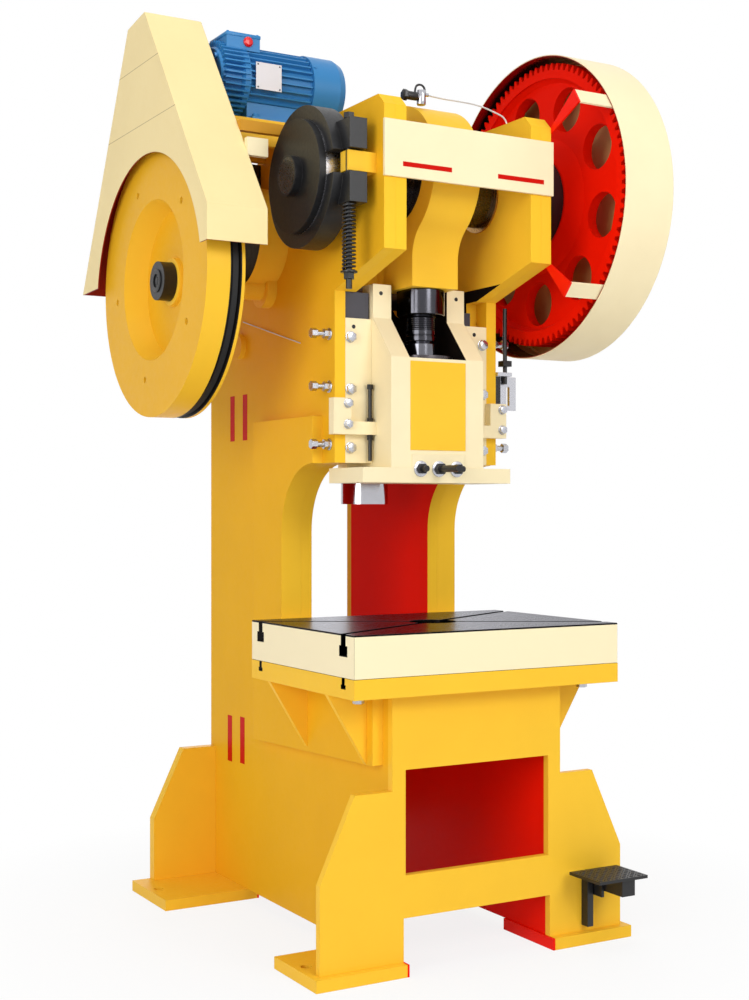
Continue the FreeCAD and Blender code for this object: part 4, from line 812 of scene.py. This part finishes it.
bm = bmesh.new()
coreLength = motor["end"] - motor["shield"]
addTurned(bm, (motor["shield"], motor["y"], motor["z"]), (1, 0, 0),
          [(0.0, motor["hub"]), (coreLength, motor["hub"]), (coreLength, fins["inner"]),
           (fins["chamfer"], fins["inner"]), (0.0, fins["inner"] - fins["chamfer"])])
finLength = coreLength - fins["chamfer"]
finFoot = fins["inner"] - fins["sink"]
spot = Matrix.Translation((motor["end"] - finLength / 2, motor["y"], motor["z"]))
for number in range(fins["count"]):
    turned = spot @ Matrix.Rotation(2 * math.pi * number / fins["count"], 4, "X")
    addBlock(bm, turned @ Matrix.Translation((0, 0, (finFoot + fins["outer"]) / 2)),
             (finLength, fins["wide"], fins["outer"] - finFoot))
newPiece(bm, "motorFins", "frame", bluePaint)

bm = bmesh.new()
for radius in grille["radii"]:
    ringLine = [(0, radius - grille["foot"]), (0, radius + grille["foot"]),
                (grille["high"], radius + grille["top"]), (grille["high"], radius - grille["top"])]
    addTurned(bm, (grille["x"], motor["y"], motor["z"]), (1, 0, 0), ringLine, 48)
newPiece(bm, "fanGrille", "frame", blackPaint)
print("motor details done")

# back of the gear guard

guard = {"opening": 0.082, "outer": 0.3152, "sheet": 0.002, "near": 0.3885, "far": 0.3905, "lip": 0.3785}

bm = bmesh.new()
lipInside = guard["outer"] - guard["sheet"]
addTurned(bm, (0, *guardAxis), (1, 0, 0),
          [(guard["near"], guard["opening"]), (guard["near"], lipInside),
           (guard["lip"], lipInside), (guard["lip"], guard["outer"]),
           (guard["far"], guard["outer"]), (guard["far"], guard["opening"])], 128)
newPiece(bm, "guardBack", "frame", backSurface())
print("guard done")

# flywheel: rings on its cap and its hub

wheel = {"capFace": -0.4500, "pinFace": -0.4490, "web": -0.4150,
         "capRing": [(0.0, 0.014), (0.0, 0.024), (0.0022, 0.024), (0.0030, 0.022), (0.0030, 0.014)],
         "pin": [(0.0, 0.0), (0.0, 0.008), (0.0016, 0.008), (0.0024, 0.0066), (0.0024, 0.0)],
         "hubRing": [(0.0, 0.0402), (0.0, 0.0500), (0.0050, 0.0490), (0.0062, 0.0470), (0.0062, 0.0402)]}

bm = bmesh.new()
addTurned(bm, (wheel["capFace"], *wheelAxis), (-1, 0, 0), wheel["capRing"], 48)
addTurned(bm, (wheel["pinFace"], *wheelAxis), (-1, 0, 0), wheel["pin"], 32)
newPiece(bm, "capRing", "flywheel_body", blackPaint)
bm = bmesh.new()
addTurned(bm, (wheel["web"], *wheelAxis), (-1, 0, 0), wheel["hubRing"], 64)
newPiece(bm, "hubRing", "flywheel_body", yellowPaint)
print("flywheel details done")

# gusset under the motor seat, and the thin oil line on the side plate

gusset = {"middle": (-0.2645, 0.566, 1.5808), "size": (0.142, 0.010, 0.066), "tipLow": 1.598, "round": 0.0012}
oilLine = {"points": [(-0.1944, 0.650, 1.2819), (-0.1948, 0.520, 1.2478), (-0.1944, 0.3712, 1.2088)],
           "radius": 0.0012}

# the gusset is black, partly as painted shade under the motor seat
bm = bmesh.new()
for vert in addBlock(bm, Matrix.Translation(gusset["middle"]), gusset["size"]):
    if vert.co.x < gusset["middle"][0] and vert.co.z < gusset["middle"][2]:
        vert.co.z = gusset["tipLow"]
roundOff(bm, bm.edges[:], gusset["round"])
newPiece(bm, "seatGusset", "frame", blackPaint)
bm = bmesh.new()
addTube(bm, oilLine["points"], oilLine["radius"], 8)
newPiece(bm, "sideOilLine", "frame", clearTube)
print("gusset done")

# lock nut with two flats and a small round boss on each where a bar would go, and the thread and collar under
# it

nut = {"low": 1.258, "high": 1.310, "radius": 0.049, "bore": 0.0255, "flat": 0.040, "round": 0.0018,
       "barHole": (-0.0165, 1.2874), "barRadius": 0.0052, "barSink": 0.001, "barStand": 0.0004}
thread = {"low": 1.2290, "high": 1.2580, "core": 0.0280, "crest": 0.0298, "pitch": 0.0042, "inner": 0.0230,
          "crestSpan": (0.3, 0.6)}
collar = {"low": 1.2060, "high": 1.2280, "radius": 0.0312, "edge": 0.001,
          "groove": 0.0296, "cutLow": 1.2165, "cutHigh": 1.2185}

bm = bmesh.new()
addTurned(bm, (0, crankAxis[0], 0), (0, 0, 1),
          [(nut["low"], nut["bore"]), (nut["high"], nut["bore"]), (nut["high"], nut["radius"] - nut["round"]),
           (nut["high"] - nut["round"], nut["radius"]), (nut["low"] + nut["round"], nut["radius"]),
           (nut["low"], nut["radius"] - nut["round"])], 96)
for side in (-1, 1):
    cut = bmesh.ops.bisect_plane(bm, geom=bm.verts[:] + bm.edges[:] + bm.faces[:], clear_outer=True,
                                 plane_co=(side * nut["flat"], 0, 0), plane_no=(side, 0, 0))
    rim = [item for item in cut["geom_cut"] if isinstance(item, bmesh.types.BMEdge)]
    bmesh.ops.contextual_create(bm, geom=rim)
barY, barZ = crankAxis[0] + nut["barHole"][0], nut["barHole"][1]
for side in (-1, 1):
    start = (side * (nut["flat"] - nut["barSink"]), barY, barZ)
    end = (side * (nut["flat"] + nut["barStand"]), barY, barZ)
    addRod(bm, start, end, nut["barRadius"], 24)
nutPiece = newPiece(bm, "lockNut", "rod_body", turnedSteel)
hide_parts("lock_nut")

bm = bmesh.new()
outline = [(thread["high"], thread["inner"]), (collar["low"], thread["inner"]),
           (collar["low"], collar["radius"] - collar["edge"]),
           (collar["low"] + collar["edge"], collar["radius"]),
           (collar["cutLow"] - collar["edge"], collar["radius"]), (collar["cutLow"], collar["groove"]),
           (collar["cutHigh"], collar["groove"]), (collar["cutHigh"] + collar["edge"], collar["radius"]),
           (collar["high"], collar["radius"])]
turns = int((thread["high"] - thread["low"]) / thread["pitch"])
for number in range(turns):
    base = thread["low"] + number * thread["pitch"]
    outline.append((base, thread["core"]))
    outline += [(base + thread["pitch"] * share, thread["crest"]) for share in thread["crestSpan"]]
outline.append((thread["low"] + turns * thread["pitch"], thread["core"]))
addTurned(bm, (0, crankAxis[0], 0), (0, 0, 1), outline, 64)
newPiece(bm, "screwThread", "rod_body", turnedSteel, 20)
print("lock nut done")

# lubrication: oil fitting with its rigid pipe over the crown

oil = {"y": 0.150, "z": 1.6855, "nipple": (-0.0760, -0.0480), "nippleRadius": 0.0085,
       "hex": -0.0720, "hexAcross": 0.020, "hexHigh": 0.008, "loopRadius": 0.0022, "pipe": 0.0017,
       "body": -0.0375, "bodyLow": -0.016, "bodyHigh": 0.014, "bodyRadius": 0.0092,
       "neck": -0.0500, "neckRadius": 0.0055, "outlet": -0.0215, "outletRise": 0.006, "outletRadius": 0.0040,
       "loop": [(-0.052, 0.006), (-0.052, 0.020), (-0.040, 0.026), (-0.0285, 0.020), (-0.0285, 0.008)],
       "route": [(-0.0260, 0.150, 1.6915), (0.0132, 0.158, 1.6915), (0.0600, 0.158, 1.6920),
                 (0.1000, 0.150, 1.6880), (0.1300, 0.140, 1.6760), (0.1540, 0.130, 1.6640),
                 (0.1560, 0.128, 1.6460)]}


def atFitting(x, rise=0.0):  # a point in the fitting's own upright plane
    return x, oil["y"], oil["z"] + rise


bm = bmesh.new()
addRod(bm, *[atFitting(x) for x in oil["nipple"]], oil["nippleRadius"], 24, rounding=0.001)
addHexHead(bm, atFitting(oil["hex"]), (-1, 0, 0), oil["hexAcross"], oil["hexHigh"])
addTube(bm, [atFitting(*point) for point in oil["loop"]], oil["loopRadius"], 12)
newPiece(bm, "oilNipple", "frame", blackOxide)
bm = bmesh.new()
addRod(bm, atFitting(oil["body"], oil["bodyLow"]), atFitting(oil["body"], oil["bodyHigh"]),
       oil["bodyRadius"], 32, rounding=0.0016)
addRod(bm, atFitting(oil["neck"]), atFitting(oil["body"]), oil["neckRadius"], 20)
addRod(bm, atFitting(oil["body"], oil["outletRise"]), atFitting(oil["outlet"], oil["outletRise"]),
       oil["outletRadius"], 20, rounding=0.0006)
newPiece(bm, "oilFitting", "frame", polishedSteel)
bm = bmesh.new()
addTube(bm, oil["route"], oil["pipe"], 12)
newPiece(bm, "oilPipe", "frame", clearTube)
print("oil fitting done")

# small screws and holes on slide, gibs and table

screwHole = {"radius": 0.0042, "deep": 0.0006,
             "faces": {0.2184: ((-0.0905, 1.300), (0.0895, 1.300)),
                       0.2244: ((-0.1500, 1.2300), (0.1385, 1.2300))}}
gibBolt = {"x": 0.158, "heights": (0.988, 1.105, 1.209), "face": 0.224, "across": 0.0185, "head": 0.0078,
           "washer": 0.0022}
bracketBolt = {"face": 0.204, "across": 0.0155, "head": 0.0070, "washer": 0.0018,
               "spots": ((-0.1740, 1.0756), (-0.1740, 1.0341), (0.1952, 1.0736), (0.1952, 1.0316))}
adjusterWasher = {"x": (0.193, 0.1952), "y": 0.246, "radius": 0.0122,
                  "heights": {-1: (1.215, 1.110, 0.995), 1: (1.215, 0.995)}}
tableBolt = {"x": 0.257, "y": (0.014, 0.314), "z": 0.523, "across": 0.019, "head": 0.012, "washer": 0.0025}

# the holes are thin black discs on the faces; their black is painted shade in the holes
bm = bmesh.new()
for face, spots in screwHole["faces"].items():
    for x, z in spots:
        addRod(bm, (x, face - screwHole["deep"], z), (x, face, z), screwHole["radius"], 20)
newPiece(bm, "screwHoles", "frame", blackOxide)

bm = bmesh.new()
for side in (-1, 1):
    for height in gibBolt["heights"]:
        addHexHead(bm, (side * gibBolt["x"], gibBolt["face"], height), (0, -1, 0), gibBolt["across"],
                   gibBolt["head"], gibBolt["washer"])
boltPiece = newPiece(bm, "gibBolts", "frame", zincPlate)
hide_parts("gib_bolts")
bm = bmesh.new()
for x, z in bracketBolt["spots"]:
    addHexHead(bm, (x, bracketBolt["face"], z), (0, -1, 0), bracketBolt["across"], bracketBolt["head"],
               bracketBolt["washer"])
for side, heights in adjusterWasher["heights"].items():
    for height in heights:
        start, end = [(side * x, adjusterWasher["y"], height) for x in adjusterWasher["x"]]
        addRod(bm, start, end, adjusterWasher["radius"], 32, rounding=0.0006)
newPiece(bm, "bracketBolts", "frame", zincPlate)

bm = bmesh.new()
for side in (-1, 1):
    for y in tableBolt["y"]:
        addHexHead(bm, (side * tableBolt["x"], y, tableBolt["z"]), (0, 0, -1), tableBolt["across"],
                   tableBolt["head"], tableBolt["washer"])
newPiece(bm, "tableBolts", "frame", zincPlate)
print("small screws done")

# washers under the clamp nuts of the slide

clampWasher = {"spots": (-0.0426, 0.0, 0.0426), "z": 0.946, "face": 0.1445, "thick": 0.0030, "radius": 0.0160}

bm = bmesh.new()
for x in clampWasher["spots"]:
    start = (x, clampWasher["face"], clampWasher["z"])
    end = (x, clampWasher["face"] - clampWasher["thick"], clampWasher["z"])
    addRod(bm, start, end, clampWasher["radius"], 40, rounding=0.0006)
newPiece(bm, "clampWashers", "slide_body", zincPlate)
print("washers done")

# chequered top of the pedal

tread = {"low": (0.203, -0.113), "high": (0.321, -0.021), "z": 0.150, "pitch": 0.0094, "inset": 0.72,
         "beadFoot": 0.0046, "beadTop": 0.0030, "beadHigh": 0.0024, "slim": 0.34}

bm = bmesh.new()
rows = int((tread["high"][1] - tread["low"][1]) / tread["pitch"])
columns = int((tread["high"][0] - tread["low"][0]) / tread["pitch"])
for row in range(rows):
    for place in range(columns):
        x = tread["low"][0] + (place + tread["inset"]) * tread["pitch"]
        y = tread["low"][1] + (row + tread["inset"]) * tread["pitch"]
        turn = math.pi / 4 if (row + place) % 2 else -math.pi / 4
        bead = Matrix.Translation((x, y, tread["z"])) @ Matrix.Rotation(turn, 4, "Z")
        bmesh.ops.create_cone(bm, cap_ends=True, segments=8, radius1=tread["beadFoot"],
                              radius2=tread["beadTop"], depth=tread["beadHigh"],
                              matrix=bead @ Matrix.Diagonal((1, tread["slim"], 1, 1)))
newPiece(bm, "treadChequer", "pedal_body", blackPaint, 60)
print("pedal done")

# floor and backdrop: white to the eye, plain to the light

stage = {"floor": 0.86, "rough": 0.75, "shine": 0.1, "drop": 0.0005, "half": 30,
         "middleY": 0.4, "near": 0.45, "far": 1.1, "nearGlow": 0.84}


def directRays(tree):  # what the camera sees, itself or in a reflection
    rays = tree.nodes.new("ShaderNodeLightPath")
    bent = sums(tree, "MAXIMUM", rays.outputs["Is Glossy Ray"], rays.outputs["Is Transmission Ray"])
    return sums(tree, "MAXIMUM", rays.outputs["Is Camera Ray"], bent)


def fromMiddle(tree):  # distance over the floor from the press
    farX = magnitude(tree, along(tree, "X"))
    farY = magnitude(tree, sums(tree, "SUBTRACT", along(tree, "Y"), stage["middleY"]))
    return sums(tree, "SQRT", sums(tree, "ADD", both(tree, farX, farX), both(tree, farY, farY)))


floorMaterial, floorTree, floorShader = newMaterial("floor")
floorShader.inputs["Base Color"].default_value = (stage["floor"], stage["floor"], stage["floor"], 1)
floorShader.inputs["Roughness"].default_value = stage["rough"]
floorShader.inputs["Specular IOR Level"].default_value = stage["shine"]
glow = floorTree.nodes.new("ShaderNodeEmission")
glow.inputs["Color"].default_value = (1, 1, 1, 1)
glowShare = spread(floorTree, fromMiddle(floorTree), stage["nearGlow"], 1.0, stage["near"], stage["far"])
floorMix = floorTree.nodes.new("ShaderNodeMixShader")
feed(floorTree, both(floorTree, directRays(floorTree), glowShare), floorMix.inputs[0])
feed(floorTree, floorShader.outputs[0], floorMix.inputs[1])
feed(floorTree, glow.outputs[0], floorMix.inputs[2])
feed(floorTree, floorMix.outputs[0], floorTree.nodes["Material Output"].inputs["Surface"])

bm = bmesh.new()
bmesh.ops.create_grid(bm, x_segments=1, y_segments=1, size=stage["half"])
floorMesh = bpy.data.meshes.new("floor")
bm.to_mesh(floorMesh)
bm.free()
floorMesh.materials.append(floorMaterial)
floor = bpy.data.objects.new("floor", floorMesh)
floor.location = (0, 0, -stage["drop"])
scene.collection.objects.link(floor)

world = bpy.data.worlds.new("studio")
world.use_nodes = True
scene.world = world
worldTree = world.node_tree
backdrop = worldTree.nodes["Background"]
backdrop.inputs["Color"].default_value = (1, 1, 1, 1)
skyStrength = spread(worldTree, directRays(worldTree), studio["sky"], 1.0, 0.0, 1.0)
feed(worldTree, skyStrength, backdrop.inputs["Strength"])
print("stage done")
